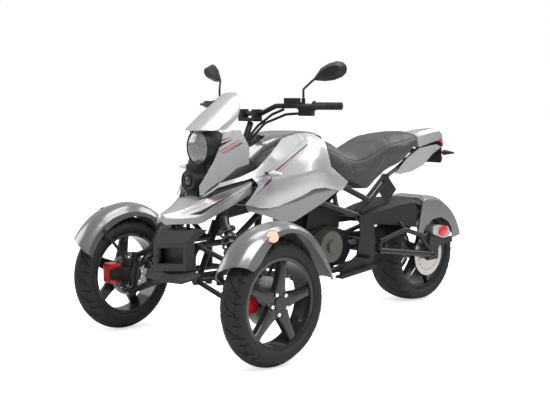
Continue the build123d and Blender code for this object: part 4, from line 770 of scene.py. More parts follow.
    def finish(
        self, piece: bpy.types.Object, finish: Finish, body: str, *nodes: str, smooth: float = SMOOTH_ANGLE
    ) -> bpy.types.Object:
        """Dresses a piece, puts it on its body and hides the nodes it stands for.

        Args:
            piece: the finished mesh object at the origin.
            finish: its finish.
            body: the CAD body that carries it.
            nodes: CAD nodes that it replaces.
            smooth: the greatest angle between faces that are shaded as one surface.

        Returns:
            The same object.
        """
        piece.data.materials.clear()
        piece.data.materials.append(self.finishes.get(finish))
        piece.data.shade_smooth()
        piece.data.set_sharp_from_angle(angle=smooth)
        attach(piece, body)
        if nodes:
            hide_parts(*nodes)
        LOG.info("%s: %d faces on %s", piece.name, len(piece.data.polygons), body)
        return piece


def smooth_line(points: np.ndarray, parts: int, creases: Sequence[int] = (), closed: bool = False) -> np.ndarray:
    """Returns a smooth line, or a family of them, through the points of the first axis.

    Args:
        points: an array whose first axis runs along the line.
        parts: steps between two neighbouring points.
        creases: numbers of the points where the line may turn sharply.
        closed: whether the line comes back to its first point.

    Returns:
        An array of the same kind with more rows.
    """
    points = np.asarray(points, dtype=float)
    count = len(points)
    segments = count if closed else count - 1
    spans = [
        float(np.mean(np.linalg.norm(points[(i + 1) % count] - points[i], axis=-1))) + 1e-9 for i in range(segments)
    ]

    def slope(i: int, leaving: bool) -> np.ndarray:
        """Returns the line's direction on one side of point i."""
        has_before = closed or i > 0
        has_after = closed or i < count - 1
        before = (points[i] - points[i - 1]) / spans[i - 1] if has_before else None
        after = (points[(i + 1) % count] - points[i]) / spans[i] if has_after else None
        if before is None or (after is not None and i in creases and leaving):
            return after
        if after is None or i in creases:
            return before
        return (before * spans[i] + after * spans[i - 1]) / (spans[i] + spans[i - 1])

    rows = []
    for i in range(segments):
        j = (i + 1) % count
        start, end = slope(i, True) * spans[i], slope(j, False) * spans[i]
        for step in range(parts):
            t = step / parts
            rows.append(
                (2 * t**3 - 3 * t**2 + 1) * points[i]
                + (t**3 - 2 * t**2 + t) * start
                + (3 * t**2 - 2 * t**3) * points[j]
                + (t**3 - t**2) * end
            )
    if not closed:
        rows.append(points[-1])
    return np.array(rows)


def arc_through(first: Point, middle: Point, last: Point, steps: int) -> list[Point]:
    """Returns points of the circular arc through three points."""
    (ax, ay), (bx, by), (cx, cy) = first, middle, last
    d = 2 * (ax * (by - cy) + bx * (cy - ay) + cx * (ay - by))
    ux = ((ax**2 + ay**2) * (by - cy) + (bx**2 + by**2) * (cy - ay) + (cx**2 + cy**2) * (ay - by)) / d
    uy = ((ax**2 + ay**2) * (cx - bx) + (bx**2 + by**2) * (ax - cx) + (cx**2 + cy**2) * (bx - ax)) / d
    radius = math.hypot(ax - ux, ay - uy)
    start = math.atan2(ay - uy, ax - ux)
    turn = (math.atan2(cy - uy, cx - ux) - start) % math.tau
    passed = (math.atan2(by - uy, bx - ux) - start) % math.tau
    if passed > turn:
        turn -= math.tau
    return [
        (ux + radius * math.cos(start + turn * k / steps), uy + radius * math.sin(start + turn * k / steps))
        for k in range(steps + 1)
    ]


def grid_faces(rows: int, columns: int, loop_rows: bool = False, loop_columns: bool = False) -> list[tuple[int, ...]]:
    """Returns the faces of a grid of points, closed round its rows or columns where asked."""
    faces = []
    for r in range(rows if loop_rows else rows - 1):
        for c in range(columns if loop_columns else columns - 1):
            a, b = r * columns + c, r * columns + (c + 1) % columns
            below = (r + 1) % rows * columns
            faces.append((a, b, below + (c + 1) % columns, below + c))
    return faces


def ring_grid(rings: Sequence[Ring]) -> np.ndarray:
    """Returns rings of (station, [(x, height), ...]) as an array of (x, station, height)."""
    return np.array([[(x, station, z) for x, z in points] for station, points in rings])


def revolved(profile: Sequence[Point], centre: tuple[float, float, float], steps: int) -> tuple[np.ndarray, list]:
    """Returns points and faces of a closed (x, radius) profile turned about an axle.

    Args:
        profile: the outline as distance along the axle and radius, in millimetres.
        centre: the wheel's middle as x, station and height.
        steps: how many steps the turn has.

    Returns:
        Row-frame points and faces.
    """
    angles = np.arange(steps) / steps * math.tau
    x, radius = np.array(profile).T
    rows = np.empty((steps, len(profile), 3))
    rows[..., 0] = centre[0] + x
    rows[..., 1] = centre[1] + np.outer(np.cos(angles), radius)
    rows[..., 2] = centre[2] + np.outer(np.sin(angles), radius)
    return rows_to_frame(rows).reshape(-1, 3), grid_faces(steps, len(profile), True, True)


@dataclass
class Tyre:
    """A tyre with a pattern of curved grooves, in millimetres."""

    name: str
    node: str
    body: str
    centre: tuple[float, float, float]
    radius: float
    width: float
    rim_width: float
    tread_share: float
    crown_drop: float
    repeats: int
    groove_depth: float = 5.0
    bead_radius: float = 178.0
    lip_radius: float = 189.4
    lip_wall: float = 7.0
    wall_share: float = 0.52
    steps: int = 600
    wall_steps: int = 18
    crown_steps: int = 40
    tread_reach: float = 0.62
    groove_bend: float = 0.62
    groove_slant: float = 0.72
    groove_rows: tuple[tuple[float, ...], ...] = (
        (0.1, 0.62, 0.06, 0.62, 2.6),
        (0.48, 0.3, 0.3, 0.9, 2.0),
        (0.92, 0.24, 0.46, 0.98, 1.8),
    )

    def profile(self) -> list[Point]:
        """Returns the outer profile from one rim lip over the tread to the other."""
        wall = self.bead_radius + (self.radius - self.bead_radius) * self.wall_share
        half, tread = self.width / 2, self.width / 2 * self.tread_share
        shoulder = (tread, self.radius - self.crown_drop)
        right = arc_through((self.rim_width / 2, self.lip_radius), (half, wall), shoulder, self.wall_steps)
        crown = arc_through(shoulder, (0.0, self.radius), (-shoulder[0], shoulder[1]), self.crown_steps)
        left = [(-x, r) for x, r in reversed(right)]
        return right + crown[1:-1] + left

    def grooves(self, across: np.ndarray, angle: np.ndarray) -> np.ndarray:
        """Returns how deep the grooves are at each place, from 0 to 1.

        Args:
            across: distance from the tread's middle along its surface.
            angle: angle round the wheel.

        Returns:
            The depth as a share of the full depth.
        """
        pitch = math.tau * self.radius / self.repeats
        reach = self.width * self.tread_reach
        depth = np.zeros(np.broadcast(across, angle).shape)
        for side in (-1, 1):
            u = across * side
            along = (angle / math.tau * self.repeats + (0.5 if side > 0 else 0.0)) % 1.0
            share = np.clip((u - reach * 0.06) / (reach * 0.72), 0.0, 1.0)
            for offset, sweep, low, high, half in self.groove_rows:
                path = offset + sweep * share**self.groove_bend
                gap = (along - path + 0.5) % 1.0 - 0.5
                near = np.abs(gap) * pitch * self.groove_slant
                inside = (u > reach * low) & (u < reach * high)
                depth = np.maximum(depth, np.where(inside, np.clip(1.6 - near / half, 0.0, 1.0), 0.0))
        return depth

    def build(self, shop: Workshop) -> bpy.types.Object:
        """Returns the finished tyre on its wheel."""
        outer = np.array(self.profile())
        lengths = np.concatenate([[0.0], np.cumsum(np.linalg.norm(np.diff(outer, axis=0), axis=1))])
        across = lengths - lengths[-1] / 2
        slope = np.gradient(outer, axis=0)
        normal = np.stack([slope[:, 1], -slope[:, 0]], axis=1)
        normal /= np.linalg.norm(normal, axis=1)[:, None]
        angles = np.arange(self.steps) / self.steps * math.tau
        depth = self.grooves(across[None, :], angles[:, None]) * self.groove_depth
        shaped = outer[None] - normal[None] * depth[..., None] * np.sign((normal * outer).sum(1))[None, :, None]
        bead = self.rim_width / 2 - self.lip_wall
        inner = [(-self.rim_width / 2, self.lip_radius), (-bead, self.lip_radius), (-bead, self.bead_radius)]
        inner = np.array(inner + [(-x, r) for x, r in reversed(inner)])
        rows = np.concatenate([shaped, np.repeat(inner[None], self.steps, axis=0)], axis=1)
        points = np.empty((*rows.shape[:2], 3))
        points[..., 0] = self.centre[0] + rows[..., 0]
        points[..., 1] = self.centre[1] + rows[..., 1] * np.cos(angles)[:, None]
        points[..., 2] = self.centre[2] + rows[..., 1] * np.sin(angles)[:, None]
        faces = grid_faces(self.steps, rows.shape[1], True, True)
        piece = shop.mesh_object(self.name, rows_to_frame(points).reshape(-1, 3), faces)
        return shop.finish(piece, TYRE, self.body, self.node, smooth=math.radians(28.0))


@dataclass
class Rim:
    """A cast five-spoke rim with a raised middle on each spoke, in millimetres."""

    name: str
    node: str
    body: str
    centre: tuple[float, float, float]
    width: float
    outward: int
    hub_reach: float
    barrel: float = 172.0
    bead: float = 178.0
    lip: float = 189.0
    spoke_count: int = 5
    spoke_lean: float = 9.0
    face_inset: float = 8.0
    spoke_depth: float = 24.0
    spoke_rows: tuple[tuple[float, float, float], ...] = (
        (30.0, 35.0, 1.0), (46.0, 32.0, 2.0), (60.0, 27.0, 4.0), (100.0, 21.0, 4.5), (150.0, 17.0, 4.0),
        (168.0, 18.0, 2.0), (173.5, 19.0, 0.0),
    )
    nut_circle: float = 43.0
    cap_lift: float = 3.5
    barrel_steps: int = 144
    hub_steps: int = 64

    def barrel_profile(self) -> list[Point]:
        """Returns the closed profile of the barrel with its lips."""
        half = self.width / 2
        side = [(half - 3.0, self.barrel + 1.0), (half - 1.0, self.lip - 6.0), (half, self.lip - 3.0)]
        side += [(half - 1.0, self.lip), (half - 5.0, self.lip), (half - 7.0, self.lip - 3.0)]
        side += [(half - 9.0, self.bead)]
        return side + [(-x, r) for x, r in reversed(side)]

    def hub_profile(self) -> list[Point]:
        """Returns the closed profile of the hub with its stepped cap."""
        face, back = self.width / 2 - self.face_inset, -self.hub_reach
        side = [(back, 12.2), (back, 36.0), (face - 26.0, 38.0), (face - 24.0, 52.0), (face - 3.0, 54.0)]
        side += [(face, 51.0), (face, 30.5), (face - 2.0, 29.5), (face - 2.0, 28.8), (face + 4.0, 28.0)]
        side += [(face + 6.0, 25.0), (face + 6.0, 16.0), (face + 4.0, 14.5), (face + 4.0, 12.2)]
        return [(self.outward * x, r) for x, r in side]

    def spoke(self, number: int) -> tuple[np.ndarray, list[tuple[int, ...]]]:
        """Returns the points and faces of one spoke."""
        face = self.width / 2 - self.face_inset
        rows = []
        for radius, half, ridge in self.spoke_rows:
            back = face - self.spoke_depth
            rows.append(
                [
                    (radius, -half - 5.0, back), (radius, -half, face - 3.0), (radius, -half + 3.0, face),
                    (radius, -half * 0.34, face + ridge - 2.0), (radius, 0.0, face + ridge * 0.55),
                    (radius, half * 0.34, face + ridge - 2.0), (radius, half - 3.0, face),
                    (radius, half, face - 3.0), (radius, half + 5.0, back),
                ]
            )
        table = np.array(rows)
        angle = math.radians(90.0 - self.spoke_lean + 360.0 / self.spoke_count * number)
        points = np.empty_like(table)
        points[..., 0] = self.centre[0] + self.outward * table[..., 2]
        points[..., 1] = self.centre[1] + table[..., 0] * math.cos(angle) - table[..., 1] * math.sin(angle)
        points[..., 2] = self.centre[2] + table[..., 0] * math.sin(angle) + table[..., 1] * math.cos(angle)
        columns = table.shape[1]
        faces = grid_faces(len(rows), columns, False, True)
        faces += [tuple(range(columns)), tuple(range((len(rows) - 1) * columns, len(rows) * columns))]
        return rows_to_frame(points).reshape(-1, 3), faces

    def build(self, shop: Workshop) -> bpy.types.Object:
        """Returns the finished rim on its wheel and adds its cap and nuts."""
        parts = [revolved(self.barrel_profile(), self.centre, self.barrel_steps)]
        parts.append(revolved(self.hub_profile(), self.centre, self.hub_steps))
        parts += [self.spoke(number) for number in range(self.spoke_count)]
        points, faces, offset = [], [], 0
        for part_points, part_faces in parts:
            points.append(part_points)
            faces += [tuple(i + offset for i in face_points) for face_points in part_faces]
            offset += len(part_points)
        piece = shop.mesh_object(self.name, np.concatenate(points), faces)
        shop.finish(piece, RIM, self.body, self.node, smooth=math.radians(30.0))
        self._cap_and_nuts(shop)
        return piece

    def _cap_and_nuts(self, shop: Workshop) -> None:
        """Builds the cap in the middle and the nuts between the spokes."""
        face = self.width / 2 - self.face_inset
        facing = (self.outward, 0.0, 0.0)
        cap = Fasteners(f"{self.name}_cap", self.body, 14.0, 1.6, 32, RIM)
        cap.add((self.centre[0] + self.outward * (face + self.cap_lift), *self.centre[1:]), facing)
        cap.build(shop)
        nuts = Fasteners(f"{self.name}_nuts", self.body, 8.5, 9.0, 6, CHROME)
        for number in range(self.spoke_count):
            angle = math.radians(90.0 - self.spoke_lean + 360.0 / self.spoke_count * (number + 0.5))
            nuts.add(
                (
                    self.centre[0] + self.outward * (face - 1.0),
                    self.centre[1] + self.nut_circle * math.cos(angle),
                    self.centre[2] + self.nut_circle * math.sin(angle),
                ),
                facing,
            )
        nuts.build(shop)


class FastenerTree:
    """A geometry tree that puts a rounded head on every point along its axis."""

    _tree: bpy.types.NodeTree | None = None
    steps = ((1.0, 0.78), (0.84, 1.0))

    @classmethod
    def get(cls) -> bpy.types.NodeTree:
        """Returns the tree, built on its first use."""
        if cls._tree is None:
            cls._tree = cls._build()
        return cls._tree

    @classmethod
    def _build(cls) -> bpy.types.NodeTree:
        """Returns a new tree with inputs for the head's size, sides and material."""
        tree = bpy.data.node_groups.new("fastener_heads", "GeometryNodeTree")
        tree.interface.new_socket("Geometry", in_out="INPUT", socket_type="NodeSocketGeometry")
        for label, kind, value in (
            ("Head Radius", "NodeSocketFloat", 0.005),
            ("Head Height", "NodeSocketFloat", 0.004),
            ("Sides", "NodeSocketInt", 12),
            ("Material", "NodeSocketMaterial", None),
        ):
            socket = tree.interface.new_socket(label, in_out="INPUT", socket_type=kind)
            if value is not None:
                socket.default_value = value
        tree.interface.new_socket("Geometry", in_out="OUTPUT", socket_type="NodeSocketGeometry")
        given = tree.nodes.new("NodeGroupInput").outputs
        result = tree.nodes.new("NodeGroupOutput")
        joined = tree.nodes.new("GeometryNodeJoinGeometry")
        for radius_share, height_share in cls.steps:
            radius = maths(tree, "MULTIPLY", given["Head Radius"], radius_share)
            height = maths(tree, "MULTIPLY", given["Head Height"], height_share)
            lift = add_node(tree, "ShaderNodeCombineXYZ", {"Z": maths(tree, "MULTIPLY", height, 0.5)})
            values = {"Vertices": given["Sides"], "Radius": radius, "Depth": height}
            head = add_node(tree, "GeometryNodeMeshCylinder", values)
            values = {"Geometry": head.outputs["Mesh"], "Translation": lift.outputs[0]}
            tree.links.new(add_node(tree, "GeometryNodeTransform", values).outputs[0], joined.inputs[0])
        axis = add_node(tree, "GeometryNodeInputNamedAttribute", {"Name": "axis"}, data_type="FLOAT_VECTOR")
        values = {"Vector": axis.outputs["Attribute"]}
        aligned = add_node(tree, "FunctionNodeAlignRotationToVector", values, axis="Z")
        cloud = add_node(tree, "GeometryNodeMeshToPoints", {"Mesh": given["Geometry"]})
        values = {
            "Points": cloud.outputs["Points"], "Instance": joined.outputs[0], "Rotation": aligned.outputs["Rotation"]
        }
        placed = add_node(tree, "GeometryNodeInstanceOnPoints", values)
        real = add_node(tree, "GeometryNodeRealizeInstances", (placed.outputs[0],))
        values = {"Geometry": real.outputs[0], "Material": given["Material"]}
        dressed = add_node(tree, "GeometryNodeSetMaterial", values)
        tree.links.new(dressed.outputs[0], result.inputs["Geometry"])
        return tree


@dataclass
class Fasteners:
    """A set of bolt heads, nuts or caps on one body, sizes in millimetres."""

    name: str
    body: str
    radius: float
    height: float
    sides: int
    finish: Finish
    spots: list[tuple[Vector, Vector]] = field(default_factory=list)

    def add(self, spot: tuple[float, float, float], axis: tuple[float, float, float]) -> None:
        """Adds a head at (x, station, height) that looks along axis."""
        self.spots.append((place(*spot), Vector(axis).normalized()))

    def build(self, shop: Workshop) -> bpy.types.Object:
        """Returns the heads as one plain mesh on their body."""
        mesh = bpy.data.meshes.new(self.name)
        mesh.from_pydata([tuple(spot) for spot, _ in self.spots], [], [])
        axis = mesh.attributes.new("axis", "FLOAT_VECTOR", "POINT")
        axis.data.foreach_set("vector", [value for _, line in self.spots for value in line])
        piece = bpy.data.objects.new(self.name, mesh)
        bpy.context.scene.collection.objects.link(piece)
        tree = FastenerTree.get()
        modifier = piece.modifiers.new("heads", "NODES")
        modifier.node_group = tree
        sockets = {item.name: item.identifier for item in tree.interface.items_tree if item.in_out == "INPUT"}
        modifier[sockets["Head Radius"]] = self.radius * MM
        modifier[sockets["Head Height"]] = self.height * MM
        modifier[sockets["Sides"]] = self.sides
        modifier[sockets["Material"]] = shop.finishes.get(self.finish)
        shop.settle(piece)
        return shop.finish(piece, self.finish, self.body)


@dataclass
class FrontFender:
    """A sculpted front fender on its knuckle with its round reflector, in millimetres."""

    side: int
    centre: tuple[float, float, float] = (WHEEL_X, 0.0, FRONT_RADIUS)
    wall: float = 4.0
    offsets: tuple[float, ...] = (-74.0, -70.0, -44.0, 0.0, 45.0, 72.0, 76.0)
    rows: tuple[tuple[float, tuple[float, ...]], ...] = (
        (14.0, (278, 288, 300, 304, 300, 290, 278)),
        (30.0, (270, 286, 306, 312, 306, 288, 265)),
        (48.0, (268, 287, 313, 320, 314, 292, 265)),
        (65.0, (270, 288, 319, 327, 321, 300, 281)),
        (80.0, (268, 288, 319, 328, 322, 303, 287)),
        (97.0, (262, 286, 315, 323, 316, 298, 276)),
        (112.0, (256, 284, 311, 318, 309, 287, 249)),
        (128.0, (250, 280, 305, 312, 301, 272, 226)),
        (142.0, (246, 272, 299, 306, 295, 264, 232)),
        (157.0, (241, 264, 293, 299, 289, 262, 238)),
    )
    ridge_columns: tuple[int, ...] = (1, 5)
    tip: tuple[float, float, float] = (-68.0, -218.0, 103.0)
    tip_normal: tuple[float, float, float] = (0.424, -0.479, -0.766)
    reflector: tuple[float, float] = (104.0, 286.0)
    reflector_radius: float = 25.0
    hollows: tuple[tuple[float, ...], ...] = ((-30.0, 15.0, 3.2, 40.0, 128.0), (33.0, 15.0, 3.4, 34.0, 112.0))
    hollow_fade: float = 14.0

    def build(self, shop: Workshop) -> bpy.types.Object:
        """Returns the finished fender with its reflector."""
        table = np.array(
            [[(x, angle, radius) for x, radius in zip(self.offsets, radii)] for angle, radii in self.rows]
        )
        fine = smooth_line(table, 10)
        fine = np.swapaxes(smooth_line(np.swapaxes(fine, 0, 1), 6, creases=self.ridge_columns), 0, 1)
        self._sculpt(fine)
        angle = np.radians(fine[..., 1])
        points = np.empty_like(fine)
        points[..., 0] = fine[..., 0]
        points[..., 1] = fine[..., 2] * np.cos(angle)
        points[..., 2] = fine[..., 2] * np.sin(angle)
        word = "left" if self.side > 0 else "right"
        points += np.array(self.centre)
        piece = shop.mesh_object(
            f"front_fender_{word}", rows_to_frame(points).reshape(-1, 3), grid_faces(*fine.shape[:2])
        )
        shop.face_towards(piece, (0.0, -0.2, 1.0))
        shop.thicken(piece, self.wall)
        self._cut_front(piece)
        self._mirror(piece)
        body = f"knuckle_{word}"
        shop.finish(piece, GREY, body, f"fender_front_{word}", smooth=math.radians(26.0))
        self._reflector(shop, word, body)
        return piece

    def _sculpt(self, fine: np.ndarray) -> None:
        """Presses two long hollows into the fender beside its crown."""
        for middle, width, depth, start, end in self.hollows:
            across = np.clip(1.0 - ((fine[..., 0] - middle) / width) ** 2, 0.0, 1.0)
            turns = (fine[..., 1] - start, end - fine[..., 1])
            into, out = (np.clip(turn / self.hollow_fade, 0.0, 1.0) for turn in turns)
            fine[..., 2] -= depth * across**0.7 * (into * out)

    def _cut_front(self, piece: bpy.types.Object) -> None:
        """Cuts the fender's front along its slanted edge."""
        bm = bmesh.new()
        bm.from_mesh(piece.data)
        origin = place(*(a + b for a, b in zip(self.centre, self.tip)))
        bmesh.ops.bisect_plane(
            bm, geom=bm.verts[:] + bm.edges[:] + bm.faces[:], plane_co=origin, plane_no=Vector(self.tip_normal),
            clear_outer=True,
        )
        rim = [edge for edge in bm.edges if edge.is_boundary]
        bmesh.ops.holes_fill(bm, edges=rim, sides=0)
        bmesh.ops.recalc_face_normals(bm, faces=bm.faces)
        bm.to_mesh(piece.data)
        bm.free()

    def _mirror(self, piece: bpy.types.Object) -> None:
        """Mirrors the mesh to the right side where the fender belongs there."""
        if self.side < 0:
            piece.data.transform(Matrix.Diagonal((-1.0, 1.0, 1.0, 1.0)))
            piece.data.flip_normals()

    def _reflector(self, shop: Workshop, word: str, body: str) -> None:
        """Builds the round reflector and its dark rim on the fender's outer face."""
        degrees, radius = self.reflector
        angle = math.radians(degrees)
        spot = (
            self.side * (self.centre[0] + 70.0),
            self.centre[1] + radius * math.cos(angle),
            self.centre[2] + radius * math.sin(angle),
        )
        facing = (self.side * 0.78, -0.36 + 0.1 * math.cos(angle), 0.42)
        for label, grow, height, finish in (("rim", 3.0, 5.0, PLASTIC), ("lens", 0.0, 7.5, ORANGE)):
            disc = Fasteners(f"reflector_{label}_{word}", body, self.reflector_radius + grow, height, 40, finish)
            disc.add(spot, facing)
            disc.build(shop)


@dataclass
class Panel:
    """A smooth body panel through the rings that the frame uses, in millimetres."""

    name: str
    node: str | None
    rings: Sequence[Ring]
    finish: Finish
    outline: Sequence[Point] | None = None
    facing: tuple[float, float, float] = (1.0, 0.0, 0.3)
    wall: float = 4.6
    lift: float = 0.0
    creases: tuple[int, ...] = ()
    row_creases: tuple[int, ...] = ()
    row_parts: int = 10
    column_parts: int = 6
    paired: bool = True
    closed: bool = False
    body: str = "trike"
    edge: float = 1.2

    def sheet(self, shop: Workshop) -> bpy.types.Object:
        """Returns the panel's outer face as an open sheet."""
        table = ring_grid(self.rings)
        fine = smooth_line(table, self.row_parts, creases=self.row_creases)
        fine = np.swapaxes(
            smooth_line(np.swapaxes(fine, 0, 1), self.column_parts, creases=self.creases, closed=self.closed), 0, 1
        )
        rows, columns = fine.shape[:2]
        faces = grid_faces(rows, columns, False, self.closed)
        if self.closed:
            faces += [tuple(range(columns)), tuple(range((rows - 1) * columns, rows * columns))]
        return shop.mesh_object(self.name, rows_to_frame(fine).reshape(-1, 3), faces)

    def shaped(self, shop: Workshop) -> bpy.types.Object:
        """Returns the panel with its wall, its outline and rounded edges."""
        piece = self.sheet(shop)
        if not self.closed:
            shop.face_towards(piece, self.facing)
            if self.lift:
                shop.push(piece, self.lift)
            shop.thicken(piece, self.wall)
        if self.outline is not None:
            shop.trim(piece, self.outline)
        if self.edge:
            shop.soften(piece, self.edge, PANEL_ANGLE)
        return piece

    def build(self, shop: Workshop) -> bpy.types.Object:
        """Returns the finished panel, on both sides where it is paired."""
        piece = self.shaped(shop)
        if self.paired:
            shop.both_sides(piece)
        return shop.finish(piece, self.finish, self.body, *([self.node] if self.node else []))


SIDE_RINGS: list[Ring] = [
    (-20.0, [(52, 690), (62, 676), (70, 664), (78, 650), (84, 630), (86, 610)]),
    (60.0, [(96, 742), (112, 728), (128, 712), (140, 694), (148, 670), (150, 640)]),
    (150.0, [(128, 790), (160, 768), (186, 744), (204, 716), (214, 670), (220, 610)]),
    (300.0, [(116, 868), (158, 834), (206, 782), (236, 726), (240, 664), (228, 600)]),
    (450.0, [(118, 898), (160, 858), (214, 800), (244, 738), (238, 672), (214, 604)]),
    (600.0, [(116, 910), (150, 880), (186, 812), (206, 740), (202, 680), (188, 606)]),
    (700.0, [(112, 886), (134, 850), (158, 785), (176, 724), (182, 668), (178, 610)]),
    (840.0, [(112, 846), (126, 800), (142, 744), (156, 700), (164, 660), (166, 610)]),
]
SIDE_OUTLINE: list[Point] = [
    (-14, 652), (60, 712), (209, 770), (330, 838), (430, 890), (560, 925), (640, 912), (704, 862), (704, 752),
    (826, 676), (770, 636), (640, 662), (540, 664), (420, 632), (300, 604), (210, 598), (128, 622), (190, 700),
    (168, 738), (60, 706), (0, 660),
]
# Outline of the black sheet of painted shade under the front of the raised upper side panel.
RECESS_OUTLINE: list[Point] = [(0, 664), (60, 710), (170, 742), (200, 716), (170, 719), (100, 690), (40, 664)]
FINGER_OUTLINE: list[Point] = [
    (30, 690), (70, 712), (209, 765), (330, 832), (430, 884), (540, 918), (534, 884), (400, 824), (262, 758),
    (232, 742), (168, 735), (90, 712),
]
LOWER_PANEL_OUTLINE: list[Point] = [
    (228, 726), (262, 745), (400, 810), (540, 876), (560, 910), (584, 868), (590, 800), (560, 744), (480, 690),
    (430, 652), (310, 620), (216, 606), (150, 624), (196, 690),
]
LOWER_RINGS: list[Ring] = [
    (100.0, [(206, 640), (214, 615), (216, 590), (206, 560)]),
    (250.0, [(224, 640), (226, 600), (216, 560), (200, 520)]),
    (420.0, [(216, 668), (220, 640), (208, 580), (196, 510)]),
    (560.0, [(196, 690), (202, 660), (192, 600), (184, 540)]),
    (760.0, [(172, 690), (176, 650), (170, 610), (164, 560)]),
]
LOWER_OUTLINE: list[Point] = [
    (118, 624), (128, 621.7), (210, 597.7), (300, 603.7), (420, 631.7), (540, 663.7), (640, 661.7), (742, 641),
    (640, 594), (540, 560), (430, 524), (345, 531), (240, 566), (130, 596),
]
# Outline of the painted shade strip along the top of the lower cowl, under the side panel's edge.
LOWER_SHADE_OUTLINE: list[Point] = [
    (270, 601), (420, 629), (540, 660), (640, 658), (690, 646), (560, 640), (420, 612),
]
MASK_RINGS: list[Ring] = [
    (-14.0, [(46, 800), (54, 740), (60, 700), (68, 636)]),
    (60.0, [(70, 960), (80, 870), (92, 775), (101, 636)]),
    (130.0, [(90, 985), (112, 870), (120, 775), (122, 636)]),
    (216.0, [(106, 985), (138, 870), (142, 775), (140, 636)]),
]
MASK_OUTLINE: list[Point] = [
    (-6, 648), (18, 652), (120, 720), (209, 774), (212, 862), (184, 935), (106, 935), (92, 880), (50, 790), (-6, 700),
]
MASK_STRIP_OUTLINE: list[Point] = [
    (-8, 640), (18, 642), (120, 708), (212, 764), (212, 790), (150, 772), (110, 742), (18, 668), (-8, 660),
]
NOSE_RINGS: list[Ring] = [
    (-170.0, [(-1, 566), (-0.8, 568), (-0.4, 569), (0, 569), (0.4, 569), (0.8, 568), (1, 566)]),
    (-167.5, [(-22, 549), (-20, 568), (-11, 578), (0, 580), (11, 578), (20, 568), (22, 549)]),
    (-165.0, [(-28, 547), (-27, 574), (-15, 586), (0, 589), (15, 586), (27, 574), (28, 547)]),
    (-94.0, [(-80, 548), (-78, 572), (-46, 602), (0, 611), (46, 602), (78, 572), (80, 548)]),
    (-42.0, [(-110, 548), (-108, 580), (-68, 622), (0, 632), (68, 622), (108, 580), (110, 548)]),
    (2.0, [(-122, 566), (-124, 606), (-84, 646), (0, 656), (84, 646), (124, 606), (122, 566)]),
    (40.0, [(-134, 585), (-140, 632), (-96, 650), (0, 655), (96, 650), (140, 632), (134, 585)]),
    (180.0, [(-184, 662), (-190, 716), (-130, 712), (0, 690), (130, 712), (190, 716), (184, 662)]),
]
TANK_RINGS: tuple[tuple[float, ...], ...] = (
    (236.0, 840.0, 70.0, 806.0, 118.0, 780.0, 122.0),
    (330.0, 884.0, 74.0, 862.0, 116.0, 840.0, 120.0),
    (470.0, 913.0, 70.0, 900.0, 114.6, 870.0, 120.0),
    (600.0, 917.0, 66.0, 908.0, 113.6, 880.0, 120.0),
    (690.0, 906.0, 60.0, 894.0, 110.6, 870.0, 114.0),
    (721.0, 884.0, 54.0, 872.0, 90.0, 830.0, 104.0),
)
SEAT_RINGS: tuple[tuple[float, ...], ...] = (
    (722.0, 876.0, 60.0, 846.0, 98.0, 748.0, 120.0),
    (800.0, 853.0, 72.0, 818.0, 112.0, 704.0, 132.0),
    (870.0, 814.0, 84.0, 786.0, 124.0, 670.0, 138.0),
    (930.0, 797.0, 90.0, 772.0, 130.0, 646.0, 140.0),
    (990.0, 808.0, 94.0, 780.0, 132.0, 622.0, 138.0),
    (1060.0, 832.0, 96.0, 804.0, 130.0, 656.0, 134.0),
    (1156.0, 866.0, 92.0, 838.0, 124.0, 704.0, 126.0),
    (1300.0, 884.0, 80.0, 856.0, 108.0, 742.0, 110.0),
    (1400.0, 890.0, 66.0, 866.0, 92.0, 796.0, 96.0),
    (1456.0, 888.0, 52.0, 870.0, 74.0, 836.0, 80.0),
)


def arch(row: Sequence[float]) -> Ring:
    """Returns a ring over the middle from heights and half widths, with a point on the crown."""
    station, top, half_top, shoulder, half_shoulder, low, half_low = row
    side = [(half_low, low), (half_shoulder, shoulder), (half_top, top)]
    return station, [(-x, z) for x, z in side] + [(0.0, top + CROWN_RISE)] + side[::-1]


def capped(rings: Sequence[np.ndarray], close: bool = True) -> tuple[np.ndarray, list[tuple[int, ...]]]:
    """Returns points and faces of a skin over like closed rings, with both ends closed where asked."""
    table = np.array(rings)
    rows, columns = table.shape[:2]
    faces = grid_faces(rows, columns, False, True)
    if close:
        faces += [tuple(range(columns)), tuple(range((rows - 1) * columns, rows * columns))]
    return rows_to_frame(table).reshape(-1, 3), faces


def oval(centre: tuple[float, float, float], half_x: float, half_z: float, steps: int = 64) -> np.ndarray:
    """Returns an upright oval ring that looks along the stations, as (x, station, height) rows."""
    angle = np.arange(steps) / steps * math.tau
    ring = np.empty((steps, 3))
    ring[:, 0] = centre[0] + half_x * np.cos(angle)
    ring[:, 1] = centre[1]
    ring[:, 2] = centre[2] + half_z * np.sin(angle)
    return ring


